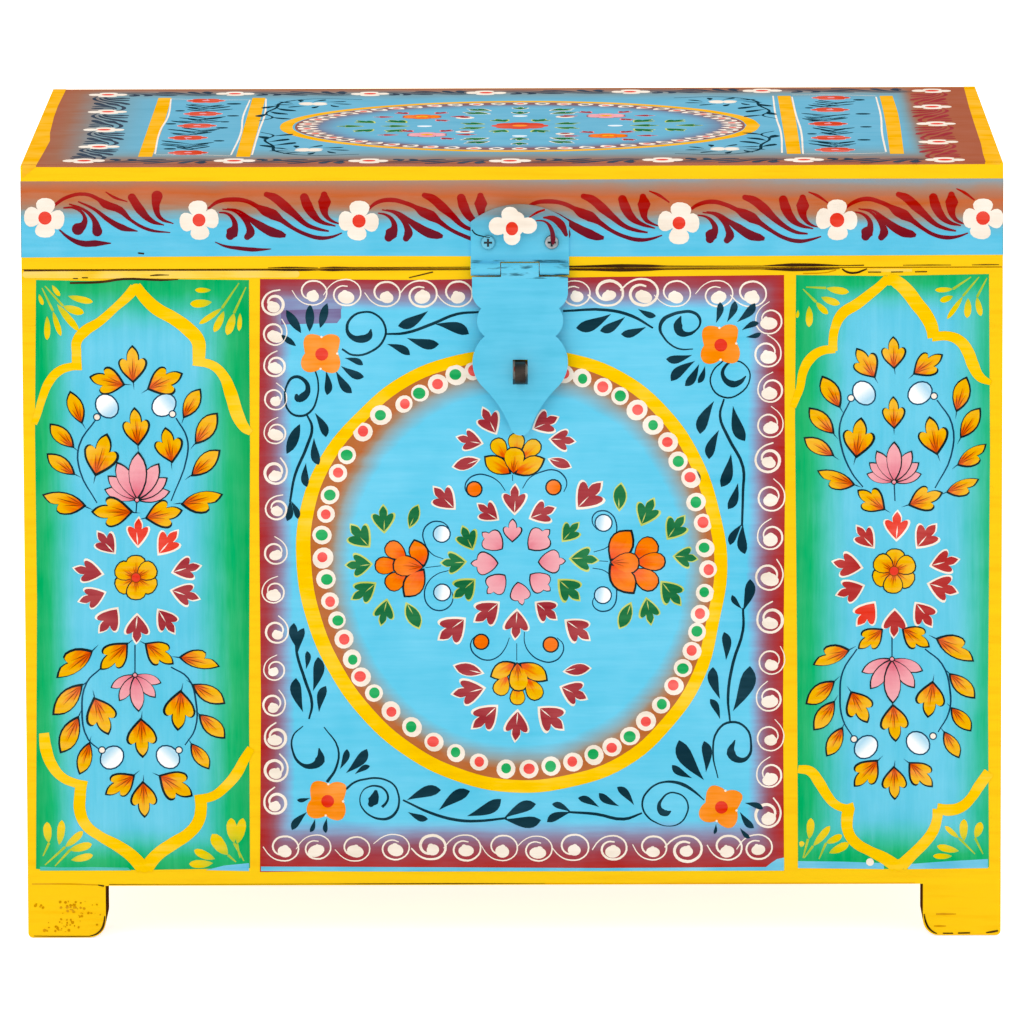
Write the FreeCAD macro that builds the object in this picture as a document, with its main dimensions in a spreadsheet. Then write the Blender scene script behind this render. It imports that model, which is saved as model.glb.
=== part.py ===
import FreeCAD, Part

import os

import Sketcher
from FreeCAD import Placement, Rotation, Vector

# Painted wooden trunk: a nailed box on four block feet, with a lid on two butt hinges at the back and a hasp
# that drops over a staple at the front. Millimetres, +Z up, front towards -Y.
# The origin is on the floor, at the middle of the whole trunk's box, staple and hinge barrels included.

doc = FreeCAD.newDocument("PaintedTrunk")
sheet = doc.addObject("Spreadsheet::Sheet", "Sizes")

SIZES = {
    # carcass and feet
    "overall_width": 500,
    "overall_depth": 350,
    "wall_height": 313,
    "wall_thickness": 12,
    "rebate_depth": 6,
    "floor_thickness": 6,
    "foot_width": 40,
    "foot_depth": 40,
    "foot_height": 27,
    "foot_inner_radius": 8.5,
    "foot_outer_radius": 2.5,
    # lid
    "lid_gap": 0.5,
    "lid_rail_height": 45.5,
    "lid_rail_thickness": 12,
    "lid_top_thickness": 8,
    "edge_radius": 1,
    # nails, and the clearance of every nail, screw and staple leg in its hole
    "nail_diameter": 1.8,
    "nail_head_diameter": 3.4,
    "nail_head_height": 1.2,
    "nail_length": 28,
    "drive_clearance": 0.05,
    "corner_nail_inset": 30,
    "lid_nail_inset": 11,
    "long_edge_nail_inset": 50,
    "short_edge_nail_inset": 95,
    # foot screws
    "foot_screw_diameter": 3.5,
    "foot_screw_head_diameter": 7,
    "foot_screw_head_height": 2.4,
    "foot_screw_length": 25,
    "foot_screw_near": 18,
    "foot_screw_far": 31,
    # butt hinges
    "hinge_inset": 100,
    "hinge_length": 50,
    "hinge_leaf_height": 20,
    "hinge_leaf_thickness": 1.4,
    "hinge_barrel_diameter": 6.4,
    "hinge_pin_diameter": 3,
    "hinge_pin_head_diameter": 4.6,
    "hinge_pin_head_length": 0.8,
    "hinge_screw_spread": 34,
    "hinge_screw_diameter": 2.8,
    "hinge_screw_head_diameter": 5.6,
    "hinge_screw_head_height": 1.4,
    "hinge_screw_length": 11,
    # running clearances of both kinds of hinge
    "pin_clearance": 0.06,
    "knuckle_clearance": 0.4,
    "leaf_clearance": 0.4,
    # hasp plate and its screws
    "hasp_offset": 4,
    "hasp_width": 50,
    "hasp_sheet": 1.2,
    "hasp_barrel_diameter": 6.4,
    "hasp_pin_diameter": 2.6,
    "hasp_middle_knuckle": 19.6,
    "plate_shoulder_rise": 24,
    "plate_crown_rise": 33,
    "hasp_screw_spread": 32.4,
    "hasp_screw_rise": 13.6,
    "hasp_screw_diameter": 3.2,
    "hasp_screw_length": 11,
    "hasp_screw_head_diameter": 7.2,
    "hasp_screw_head_height": 1.8,
    "hasp_screw_head_rounding": 0.9,
    "cross_recess_length": 4.2,
    "cross_recess_width": 1.1,
    "cross_recess_depth": 1,
    # hasp flap, from its pin down to its tip
    "flap_width": 48.8,
    "flap_shoulder_drop": 11,
    "flap_corner_width": 46.2,
    "flap_corner_drop": 16.2,
    "upper_waist_width": 39.6,
    "upper_waist_drop": 19.7,
    "middle_lobe_width": 43.8,
    "lower_waist_width": 36,
    "lower_waist_drop": 34,
    "lower_lobe_width": 48.4,
    "lower_lobe_drop": 46,
    "taper_width": 38.8,
    "taper_drop": 59.7,
    "tip_width": 10.4,
    "tip_drop": 81,
    "flap_length": 85,
    "taper_hollow": 1.4,
    "slot_width": 7.6,
    "slot_height": 12.7,
    "slot_drop": 52.4,
    # staple
    "strap_width": 5.4,
    "strap_thickness": 1.8,
    "staple_leg_spacing": 9,
    "staple_reach": 16,
    "staple_bend_radius": 1.2,
    "staple_clinch_length": 7,
}

for row, (name, value) in enumerate(SIZES.items(), 1):
    sheet.set(f"A{row}", name)
    sheet.set(f"B{row}", str(value))
    sheet.setAlias(f"B{row}", name)
doc.recompute()

# Places that several pieces share, as expressions on the sheet.
HALF_WIDTH = "(Sizes.overall_width / 2)"
FRONT = "(-(Sizes.overall_depth + Sizes.hinge_barrel_diameter - Sizes.staple_reach) / 2)"
BACK = f"({FRONT} + Sizes.overall_depth)"
FLOOR_TOP = "(Sizes.foot_height + Sizes.floor_thickness)"
CARCASS_TOP = f"({FLOOR_TOP} + Sizes.wall_height)"
PIN_HEIGHT = f"({CARCASS_TOP} + Sizes.lid_gap / 2)"
LID_BOTTOM = f"({CARCASS_TOP} + Sizes.lid_gap)"
LID_RAIL_TOP = f"({LID_BOTTOM} + Sizes.lid_rail_height)"
HINGE_PIN_Y = f"({BACK} + Sizes.hinge_barrel_diameter / 2)"
HASP_PIN_Y = f"({FRONT} - Sizes.hasp_barrel_diameter / 2)"

# Turns that lay a shape's own +Z axis along a direction.
ALONG = {
    "+X": Rotation(Vector(0, 1, 0), 90),
    "+Y": Rotation(Vector(1, 0, 0), -90),
    "-Y": Rotation(Vector(1, 0, 0), 90),
    "+Z": Rotation(),
    "-Z": Rotation(Vector(1, 0, 0), 180),
}

# Two places nearer than this are the same place.
SAME = 1e-6

SUBPARTS = []


def number(expression):
    """The value of an expression on the sheet, as a plain number."""
    value = sheet.evalExpression(expression)
    return float(getattr(value, "Value", value))


def bind(made, **expressions):
    for size, expression in expressions.items():
        made.setExpression(size, expression)


def place(made, x, y, z, turn=ALONG["+Z"]):
    made.Placement = Placement(Vector(), turn)
    for axis, expression in zip("xyz", (x, y, z)):
        made.setExpression(f"Placement.Base.{axis}", expression)
    return made


def box(length, width, height, x, y, z):
    made = doc.addObject("Part::Box", "Block")
    bind(made, Length=length, Width=width, Height=height)
    return place(made, x, y, z)


def cylinder(radius, height, x, y, z, along):
    made = doc.addObject("Part::Cylinder", "Round")
    bind(made, Radius=radius, Height=height)
    return place(made, x, y, z, ALONG[along])


def fuse(*pieces):
    if len(pieces) == 1:
        return pieces[0]
    made = doc.addObject("Part::MultiFuse", "Joined")
    made.Shapes = list(pieces)
    made.Refine = True
    return made


def group(pieces):
    made = doc.addObject("Part::Compound", "Group")
    made.Links = list(pieces)
    return made


def cut(base, tools):
    made = doc.addObject("Part::Cut", "Cut")
    made.Base = base
    made.Tool = group(tools)
    return made


def subpart(made, label):
    made.Label = label
    SUBPARTS.append(made)
    return made


def rounded(base, picked):
    """Eases the edges of a board that picked(edge) chooses, by the sheet's edge radius."""
    doc.recompute()
    radius = number("Sizes.edge_radius")
    made = doc.addObject("Part::Fillet", "Eased")
    made.Base = base
    made.Edges = [(i, radius, radius) for i, edge in enumerate(base.Shape.Edges, 1) if picked(edge)]
    return made


def upright_edge_at(y_face):
    """Picks the standing edges of a board that lie on one of its faces."""
    y = number(y_face)

    def picked(edge):
        across = edge.BoundBox
        return across.ZLength > across.XLength + across.YLength and abs(across.YMin - y) < SAME

    return picked


# Nails and screws. Each has a head that tapers into its shank, flush with the face that it enters, and the
# hole that it is driven into is the same shape grown by the drive clearance.
def fastener(kind, x, y, z, along, grow="0"):
    head = doc.addObject("Part::Cone", "Head")
    bind(
        head,
        Radius1=f"Sizes.{kind}_head_diameter / 2 + {grow}",
        Radius2=f"Sizes.{kind}_diameter / 2 + {grow}",
        Height=f"Sizes.{kind}_head_height",
    )
    place(head, x, y, z, ALONG[along])
    shank = cylinder(
        f"Sizes.{kind}_diameter / 2 + {grow}", f"Sizes.{kind}_length + {grow}", x, y, z, along
    )
    return fuse(head, shank)


def fasteners(kind, places):
    return [fastener(kind, *where) for where in places]


def holes(kind, places):
    return [fastener(kind, *where, grow="Sizes.drive_clearance") for where in places]


def spread(start, end, count):
    """Expressions for count places evenly spaced from start to end."""
    return [f"({start} + {i} * ({end} - {start}) / {count - 1})" for i in range(count)]


# Corner joints. The front and back boards run the full width and are rebated at each end; the side boards
# stand in the rebates, and nails go through what is left of the front or back board into the sides' ends.
def corner_nails(thickness, low, high, count):
    """Places of the nails of one frame, by the side board that they hold and the face that they enter."""
    places = {}
    for side, sign in (("left", "-"), ("right", "")):
        x = f"{sign}({HALF_WIDTH} - {thickness} / 2)"
        for end, face, along in (("front", FRONT, "+Y"), ("back", BACK, "-Y")):
            places[side, end] = [(x, face, z, along) for z in spread(low, high, count)]
    return places


def rebated_board(end, thickness, height, bottom):
    """A front or back board, with a rebate cut in its inner face at each end."""
    outer = FRONT if end == "front" else f"({BACK} - {thickness})"
    inner = f"({FRONT} + Sizes.rebate_depth)" if end == "front" else f"({BACK} - {thickness})"
    board = box("Sizes.overall_width", thickness, height, f"-{HALF_WIDTH}", outer, bottom)
    rebates = [
        box(thickness, f"{thickness} - Sizes.rebate_depth", height, x, inner, bottom)
        for x in (f"-{HALF_WIDTH}", f"{HALF_WIDTH} - {thickness}")
    ]
    return cut(board, rebates)


def side_board(side, thickness, height, bottom):
    x = f"-{HALF_WIDTH}" if side == "left" else f"{HALF_WIDTH} - {thickness}"
    length = "Sizes.overall_depth - 2 * Sizes.rebate_depth"
    return box(thickness, length, height, x, f"{FRONT} + Sizes.rebate_depth", bottom)


def edge_nails(thickness, face, along):
    """Places of the nails through a floor or top board into the four boards that it closes."""
    middle = f"({thickness} / 2)"
    long_from = f"(-{HALF_WIDTH} + Sizes.long_edge_nail_inset)"
    long_to = f"({HALF_WIDTH} - Sizes.long_edge_nail_inset)"
    short_from = f"({FRONT} + Sizes.short_edge_nail_inset)"
    short_to = f"({BACK} - Sizes.short_edge_nail_inset)"
    places = {}
    for end, y in (("front", f"{FRONT} + {middle}"), ("back", f"{BACK} - {middle}")):
        places[end] = [(x, y, face, along) for x in spread(long_from, long_to, 4)]
    for side, x in (("left", f"-{HALF_WIDTH} + {middle}"), ("right", f"{HALF_WIDTH} - {middle}")):
        places[side] = [(x, y, face, along) for y in spread(short_from, short_to, 2)]
    return places


def every(places):
    return [where for group_of_places in places.values() for where in group_of_places]


# Hinge screws: two for each leaf of the two butt hinges, driven from behind.
def hinge_screw_places(side, direction):
    centre = f"{side}({HALF_WIDTH} - Sizes.hinge_inset)"
    rise = "(Sizes.hinge_barrel_diameter / 2 + Sizes.leaf_clearance + Sizes.hinge_leaf_height / 2)"
    return [
        (
            f"{centre} {step} Sizes.hinge_screw_spread / 2",
            f"{BACK} + Sizes.hinge_leaf_thickness",
            f"{PIN_HEIGHT} {direction} {rise}",
            "-Y",
        )
        for step in "-+"
    ]


CARCASS_HINGE_SCREWS = [where for side in ("-", "") for where in hinge_screw_places(side, "-")]
LID_HINGE_SCREWS = [where for side in ("-", "") for where in hinge_screw_places(side, "+")]

# Carcass boards.
WALL = "Sizes.wall_thickness"
WALL_NAILS = corner_nails(
    WALL,
    f"({FLOOR_TOP} + Sizes.corner_nail_inset)",
    f"({CARCASS_TOP} - Sizes.corner_nail_inset)",
    4,
)
FLOOR_NAILS = edge_nails(WALL, "Sizes.foot_height", "+Z")
STAPLE_HEIGHT = f"({PIN_HEIGHT} - Sizes.slot_drop)"


def staple_leg_holes():
    """A square-cornered hole through the front panel for each leg of the staple."""
    wide = "(Sizes.strap_width + 2 * Sizes.drive_clearance)"
    high = "(Sizes.strap_thickness + 2 * Sizes.drive_clearance)"
    return [
        box(
            wide,
            WALL,
            high,
            f"Sizes.hasp_offset - {wide} / 2",
            FRONT,
            f"{STAPLE_HEIGHT} {step} Sizes.staple_leg_spacing / 2 - {high} / 2",
        )
        for step in "+-"
    ]


for end, face in (("front", FRONT), ("back", BACK)):
    nail_holes = holes("nail", WALL_NAILS["left", end] + WALL_NAILS["right", end] + FLOOR_NAILS[end])
    if end == "front":
        others = staple_leg_holes()
    else:
        others = holes("hinge_screw", CARCASS_HINGE_SCREWS)
    board = rebated_board(end, WALL, "Sizes.wall_height", FLOOR_TOP)
    eased = rounded(board, upright_edge_at(face))
    subpart(cut(eased, nail_holes + others), f"{end}_panel")

for side in ("left", "right"):
    nail_holes = holes("nail", WALL_NAILS[side, "front"] + WALL_NAILS[side, "back"] + FLOOR_NAILS[side])
    board = side_board(side, WALL, "Sizes.wall_height", FLOOR_TOP)
    subpart(cut(board, nail_holes), f"{side}_side_panel")

subpart(group(fasteners("nail", every(WALL_NAILS))), "carcass_corner_nails")

# Floor board, nailed up into the walls, and the four feet that are screwed to it from inside.
FEET = {
    "front_left": ("-", "+", FRONT),
    "front_right": ("", "+", FRONT),
    "rear_left": ("-", "-", BACK),
    "rear_right": ("", "-", BACK),
}


def foot_screw_places(corner):
    sign, inwards, face = FEET[corner]
    offsets = (
        ("Sizes.foot_screw_near", "Sizes.foot_screw_far"),
        ("Sizes.foot_screw_far", "Sizes.foot_screw_near"),
    )
    return [
        (f"{sign}({HALF_WIDTH} - {across})", f"{face} {inwards} {deep}", FLOOR_TOP, "-Z")
        for across, deep in offsets
    ]


FOOT_SCREWS = {corner: foot_screw_places(corner) for corner in FEET}

floor_board = box(
    "Sizes.overall_width",
    "Sizes.overall_depth",
    "Sizes.floor_thickness",
    f"-{HALF_WIDTH}",
    FRONT,
    "Sizes.foot_height",
)
floor_holes = holes("nail", every(FLOOR_NAILS)) + holes("foot_screw", every(FOOT_SCREWS))
subpart(cut(floor_board, floor_holes), "floor_panel")
subpart(group(fasteners("nail", every(FLOOR_NAILS))), "floor_nails")


def rectangle(body, width, height):
    """A sketch of an upright rectangle in the body's XZ plane, from its origin to width and height."""
    sketch = body.newObject("Sketcher::SketchObject", "Outline")
    plane = next(p for p in body.Origin.OriginFeatures if p.Role == "XZ_Plane")
    sketch.AttachmentSupport = (plane, "")
    sketch.MapMode = "FlatFace"
    wide, high = number(width), number(height)
    corners = [Vector(0, 0), Vector(wide, 0), Vector(wide, high), Vector(0, high)]
    for i, corner in enumerate(corners):
        sketch.addGeometry(Part.LineSegment(corner, corners[(i + 1) % 4]), False)
    for i in range(4):
        sketch.addConstraint(Sketcher.Constraint("Coincident", i, 2, (i + 1) % 4, 1))
        sketch.addConstraint(Sketcher.Constraint("Vertical" if i % 2 else "Horizontal", i))
    sketch.addConstraint(Sketcher.Constraint("Coincident", 0, 1, -1, 1))
    for name, constraint, expression in (
        ("wide", Sketcher.Constraint("DistanceX", 0, 1, 0, 2, wide), width),
        ("high", Sketcher.Constraint("DistanceY", 1, 1, 1, 2, high), height),
    ):
        index = sketch.addConstraint(constraint)
        sketch.renameConstraint(index, name)
        sketch.setExpression(f"Constraints.{name}", expression)
    return sketch


def foot(corner):
    """A block foot: a sawn rectangle, its lower inner edge well rounded and its lower outer edge eased."""
    sign, _, face = FEET[corner]
    body = doc.addObject("PartDesign::Body", "Foot")
    pad = body.newObject("PartDesign::Pad", "Block")
    pad.Profile = rectangle(body, "Sizes.foot_width", "Sizes.foot_height")
    bind(pad, Length="Sizes.foot_depth")
    doc.recompute()
    last = pad
    width = number("Sizes.foot_width")
    inner_x, outer_x = (width, 0) if sign else (0, width)
    for x, radius in ((inner_x, "foot_inner_radius"), (outer_x, "foot_outer_radius")):
        fillet = body.newObject("PartDesign::Fillet", "Rounding")
        fillet.Base = (last, [lower_edge_at(last, x)])
        bind(fillet, Radius=f"Sizes.{radius}")
        doc.recompute()
        last = fillet
    left = f"-{HALF_WIDTH}" if sign else f"{HALF_WIDTH} - Sizes.foot_width"
    # The pad grows towards -Y from the sketch plane.
    deep_end = f"{FRONT} + Sizes.foot_depth" if face is FRONT else BACK
    return place(body, left, deep_end, "0")


def lower_edge_at(feature, x):
    """The name of the edge that runs front to back at the bottom of a foot, at x."""
    for i, edge in enumerate(feature.Shape.Edges, 1):
        centre = edge.CenterOfMass
        runs_back = edge.BoundBox.YLength > edge.BoundBox.XLength + edge.BoundBox.ZLength
        if runs_back and abs(centre.x - x) < SAME and abs(centre.z) < SAME:
            return f"Edge{i}"
    raise ValueError(f"no lower edge at {x}")


for corner in FEET:
    subpart(cut(foot(corner), holes("foot_screw", FOOT_SCREWS[corner])), f"{corner}_foot")
subpart(group(fasteners("foot_screw", every(FOOT_SCREWS))), "foot_screws")

# Lid: four rails joined as the carcass is, and a top board nailed down on them.
RAIL = "Sizes.lid_rail_thickness"
RAIL_NAILS = corner_nails(
    RAIL,
    f"({LID_BOTTOM} + Sizes.lid_nail_inset)",
    f"({LID_RAIL_TOP} - Sizes.lid_nail_inset)",
    2,
)
LID_FACE = f"({LID_RAIL_TOP} + Sizes.lid_top_thickness)"
TOP_NAILS = edge_nails(RAIL, LID_FACE, "-Z")
HASP_SCREWS = [
    (
        f"Sizes.hasp_offset {step} Sizes.hasp_screw_spread / 2",
        f"{FRONT} - Sizes.hasp_sheet",
        f"{PIN_HEIGHT} + Sizes.hasp_screw_rise",
    )
    for step in "-+"
]


def hasp_shank(where, grow="0"):
    radius = f"Sizes.hasp_screw_diameter / 2 + {grow}"
    return cylinder(radius, f"Sizes.hasp_screw_length + {grow}", *where, "+Y")


def hasp_screw_holes():
    return [hasp_shank(where, "Sizes.drive_clearance") for where in HASP_SCREWS]


for end, face in (("front", FRONT), ("back", BACK)):
    nail_holes = holes("nail", RAIL_NAILS["left", end] + RAIL_NAILS["right", end] + TOP_NAILS[end])
    others = hasp_screw_holes() if end == "front" else holes("hinge_screw", LID_HINGE_SCREWS)
    rail = rebated_board(end, RAIL, "Sizes.lid_rail_height", LID_BOTTOM)
    eased = rounded(rail, upright_edge_at(face))
    subpart(cut(eased, nail_holes + others), f"lid_{end}_rail")

for side in ("left", "right"):
    nail_holes = holes("nail", RAIL_NAILS[side, "front"] + RAIL_NAILS[side, "back"] + TOP_NAILS[side])
    rail = side_board(side, RAIL, "Sizes.lid_rail_height", LID_BOTTOM)
    subpart(cut(rail, nail_holes), f"lid_{side}_rail")

top_board = box(
    "Sizes.overall_width",
    "Sizes.overall_depth",
    "Sizes.lid_top_thickness",
    f"-{HALF_WIDTH}",
    FRONT,
    LID_RAIL_TOP,
)


def on_outer_arris(edge):
    """The top board's standing corners and the four edges of its upper face."""
    across = edge.BoundBox
    return across.ZLength > SAME or abs(across.ZMin - number(LID_FACE)) < SAME


subpart(cut(rounded(top_board, on_outer_arris), holes("nail", every(TOP_NAILS))), "lid_top_panel")
subpart(group(fasteners("nail", every(RAIL_NAILS))), "lid_corner_nails")
subpart(group(fasteners("nail", every(TOP_NAILS))), "lid_top_nails")


# Hinges, butt and hasp alike: a leaf of sheet lies on the wood, and tabs of it are rolled round the pin.
def knuckles(start, end, pieces):
    """Start and length of each of a barrel's knuckles, in turn, with a running gap between neighbours."""
    gap = "Sizes.knuckle_clearance"
    edges = [start, *pieces, end]
    found = []
    for i, (low, high) in enumerate(zip(edges, edges[1:])):
        low = low if i == 0 else f"({low} + {gap} / 2)"
        high = high if i == len(edges) - 2 else f"({high} - {gap} / 2)"
        found.append((low, f"({high} - {low})"))
    return found


def rolled_knuckle(kind, low, length, y, sheet_y, sheet, direction):
    """One knuckle and the tab of sheet that joins it to its leaf, above (+) or below (-) the pin."""
    radius = f"Sizes.{kind}_barrel_diameter / 2"
    reach = f"({radius} + Sizes.leaf_clearance)"
    roll = cylinder(radius, length, low, y, PIN_HEIGHT, "+X")
    tab_bottom = PIN_HEIGHT if direction == "+" else f"{PIN_HEIGHT} - {reach}"
    tab = box(length, sheet, reach, low, sheet_y, tab_bottom)
    return [roll, tab]


def pin_bore(kind, start, length, y):
    return cylinder(f"Sizes.{kind}_pin_diameter / 2 + Sizes.pin_clearance", length, start, y, PIN_HEIGHT, "+X")


def butt_hinge(side):
    """One hinge's carcass leaf, lid leaf and pin, at the back of the trunk."""
    sign = "-" if side == "left" else ""
    start = f"({sign}({HALF_WIDTH} - Sizes.hinge_inset) - Sizes.hinge_length / 2)"
    end = f"({start} + Sizes.hinge_length)"
    third = "Sizes.hinge_length / 3"
    rolls = knuckles(start, end, [f"({start} + {third})", f"({end} - {third})"])
    reach = "(Sizes.hinge_barrel_diameter / 2 + Sizes.leaf_clearance)"
    for leaf, direction, own in (("carcass", "-", (rolls[0], rolls[2])), ("lid", "+", (rolls[1],))):
        bottom = f"{PIN_HEIGHT} + {reach}"
        if direction == "-":
            bottom = f"{PIN_HEIGHT} - {reach} - Sizes.hinge_leaf_height"
        plate = box(
            "Sizes.hinge_length", "Sizes.hinge_leaf_thickness", "Sizes.hinge_leaf_height", start, BACK, bottom
        )
        pieces = [plate]
        for low, length in own:
            pieces += rolled_knuckle(
                "hinge", low, length, HINGE_PIN_Y, BACK, "Sizes.hinge_leaf_thickness", direction
            )
        bore = pin_bore("hinge", start, "Sizes.hinge_length", HINGE_PIN_Y)
        screw_holes = holes("hinge_screw", hinge_screw_places(sign, direction))
        subpart(cut(fuse(*pieces), [bore, *screw_holes]), f"{side}_hinge_{leaf}_leaf")
    pin = cylinder("Sizes.hinge_pin_diameter / 2", "Sizes.hinge_length", start, HINGE_PIN_Y, PIN_HEIGHT, "+X")
    head_radius, head_length = "Sizes.hinge_pin_head_diameter / 2", "Sizes.hinge_pin_head_length"
    heads = [
        cylinder(head_radius, head_length, x, HINGE_PIN_Y, PIN_HEIGHT, "+X")
        for x in (f"{start} - {head_length}", end)
    ]
    subpart(fuse(pin, *heads), f"{side}_hinge_pin")


for side in ("left", "right"):
    butt_hinge(side)
subpart(group(fasteners("hinge_screw", CARCASS_HINGE_SCREWS)), "carcass_hinge_screws")
subpart(group(fasteners("hinge_screw", LID_HINGE_SCREWS)), "lid_hinge_screws")

# Hasp plate: sheet with an arched head, screwed to the lid's front rail, its outer tabs rolled round the pin.
PLATE_START = "(Sizes.hasp_offset - Sizes.hasp_width / 2)"
PLATE_END = "(Sizes.hasp_offset + Sizes.hasp_width / 2)"
MIDDLE_ROLL = [f"(Sizes.hasp_offset {step} Sizes.hasp_middle_knuckle / 2)" for step in "-+"]
HASP_ROLLS = knuckles(PLATE_START, PLATE_END, MIDDLE_ROLL)
HASP_LEAF_REACH = "(Sizes.hasp_barrel_diameter / 2 + Sizes.leaf_clearance)"


def sheet_metal(outline, face_y):
    """Sheet cut to an outline drawn round the middle of the pin, from face_y one thickness backwards."""
    made = doc.addObject("Part::Feature", "CutSheet")
    made.Shape = Part.Face(Part.Wire(outline)).extrude(Vector(0, number("Sizes.hasp_sheet"), 0))
    middle_of_pin = Vector(number("Sizes.hasp_offset"), number(face_y), number(PIN_HEIGHT))
    made.Placement = Placement(middle_of_pin, Rotation())
    return made


def line(start, end):
    return Part.LineSegment(start, end).toShape()


def arc(start, middle, end):
    return Part.Arc(start, middle, end).toShape()


def plate_outline():
    half = number("Sizes.hasp_width / 2")
    foot_z = number(HASP_LEAF_REACH)
    shoulder = number("Sizes.plate_shoulder_rise")
    left_foot, right_foot = Vector(-half, 0, foot_z), Vector(half, 0, foot_z)
    left, right = Vector(-half, 0, shoulder), Vector(half, 0, shoulder)
    crown = Vector(0, 0, number("Sizes.plate_crown_rise"))
    arched_head = [line(left_foot, left), arc(left, crown, right), line(right, right_foot)]
    return [*arched_head, line(right_foot, left_foot)]


plate_pieces = [sheet_metal(plate_outline(), f"{FRONT} - Sizes.hasp_sheet")]
for low, length in (HASP_ROLLS[0], HASP_ROLLS[2]):
    plate_pieces += rolled_knuckle(
        "hasp", low, length, HASP_PIN_Y, f"{FRONT} - Sizes.hasp_sheet", "Sizes.hasp_sheet", "+"
    )
plate_bore = pin_bore("hasp", PLATE_START, "Sizes.hasp_width", HASP_PIN_Y)
subpart(cut(fuse(*plate_pieces), [plate_bore, *hasp_screw_holes()]), "hasp_plate")
subpart(
    cylinder("Sizes.hasp_pin_diameter / 2", "Sizes.hasp_width", PLATE_START, HASP_PIN_Y, PIN_HEIGHT, "+X"),
    "hasp_pin",
)


# Hasp screws: round heads with a cross recess, standing on the plate.
def hasp_screw(where):
    x, y, z = where
    radius = "Sizes.hasp_screw_head_diameter / 2"
    face = f"({y} - Sizes.hasp_screw_head_height)"
    head = cylinder(radius, "Sizes.hasp_screw_head_height", x, face, z, "+Y")
    doc.recompute()
    rounding = number("Sizes.hasp_screw_head_rounding")
    domed = doc.addObject("Part::Fillet", "Domed")
    domed.Base = head
    front_y = number(face)
    domed.Edges = [
        (i, rounding, rounding)
        for i, edge in enumerate(head.Shape.Edges, 1)
        if edge.BoundBox.YLength < SAME and abs(edge.BoundBox.YMin - front_y) < SAME
    ]
    long, wide = "Sizes.cross_recess_length", "Sizes.cross_recess_width"
    cross = [
        box(length, "Sizes.cross_recess_depth", height, f"{x} - {length} / 2", face, f"{z} - {height} / 2")
        for length, height in ((long, wide), (wide, long))
    ]
    return cut(fuse(domed, hasp_shank(where)), [fuse(*cross)])


subpart(group([hasp_screw(where) for where in HASP_SCREWS]), "hasp_screws")


# Hasp flap: sheet cut to a waisted outline that tapers to a round tip, pierced by the slot for the staple. It
# leaves the barrel at its front, so it hangs one barrel clear of the wood.
def flap_outline():
    def point(width, drop):
        return Vector(number(f"Sizes.{width}") / 2, 0, -number(f"Sizes.{drop}"))

    half = number("Sizes.flap_width") / 2
    top = Vector(half, 0, -number(HASP_LEAF_REACH))
    shoulder = point("flap_width", "flap_shoulder_drop")
    corner = point("flap_corner_width", "flap_corner_drop")
    upper_waist = point("upper_waist_width", "upper_waist_drop")
    lower_waist = point("lower_waist_width", "lower_waist_drop")
    lower_lobe = point("lower_lobe_width", "lower_lobe_drop")
    taper = point("taper_width", "taper_drop")
    tip_side = point("tip_width", "tip_drop")
    tip = Vector(0, 0, -number("Sizes.flap_length"))
    middle_lobe = Vector(number("Sizes.middle_lobe_width") / 2, 0, (upper_waist.z + lower_waist.z) / 2)
    # The taper is slightly hollow between the lower lobe and the tip.
    along = tip_side - taper
    inwards = Vector(along.z, 0, -along.x).normalize() * number("Sizes.taper_hollow")
    hollow = (taper + tip_side) / 2 + inwards

    right = [
        line(top, shoulder),
        arc(shoulder, corner, upper_waist),
        arc(upper_waist, middle_lobe, lower_waist),
        arc(lower_waist, lower_lobe, taper),
        arc(taper, hollow, tip_side),
    ]
    mirrored = [edge.mirror(Vector(), Vector(1, 0, 0)) for edge in reversed(right)]
    left_tip, left_top = Vector(-tip_side.x, 0, tip_side.z), Vector(-top.x, 0, top.z)
    return [*right, arc(tip_side, tip, left_tip), *mirrored, line(left_top, top)]


FLAP_FACE = f"({FRONT} - Sizes.hasp_barrel_diameter)"
flap_pieces = [sheet_metal(flap_outline(), FLAP_FACE)]
flap_pieces += rolled_knuckle("hasp", *HASP_ROLLS[1], HASP_PIN_Y, FLAP_FACE, "Sizes.hasp_sheet", "-")
slot = box(
    "Sizes.slot_width",
    "Sizes.hasp_sheet",
    "Sizes.slot_height",
    "Sizes.hasp_offset - Sizes.slot_width / 2",
    FLAP_FACE,
    f"{STAPLE_HEIGHT} - Sizes.slot_height / 2",
)
flap_bore = pin_bore("hasp", PLATE_START, "Sizes.hasp_width", HASP_PIN_Y)
subpart(cut(fuse(*flap_pieces), [slot, flap_bore]), "hasp_flap")


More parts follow.
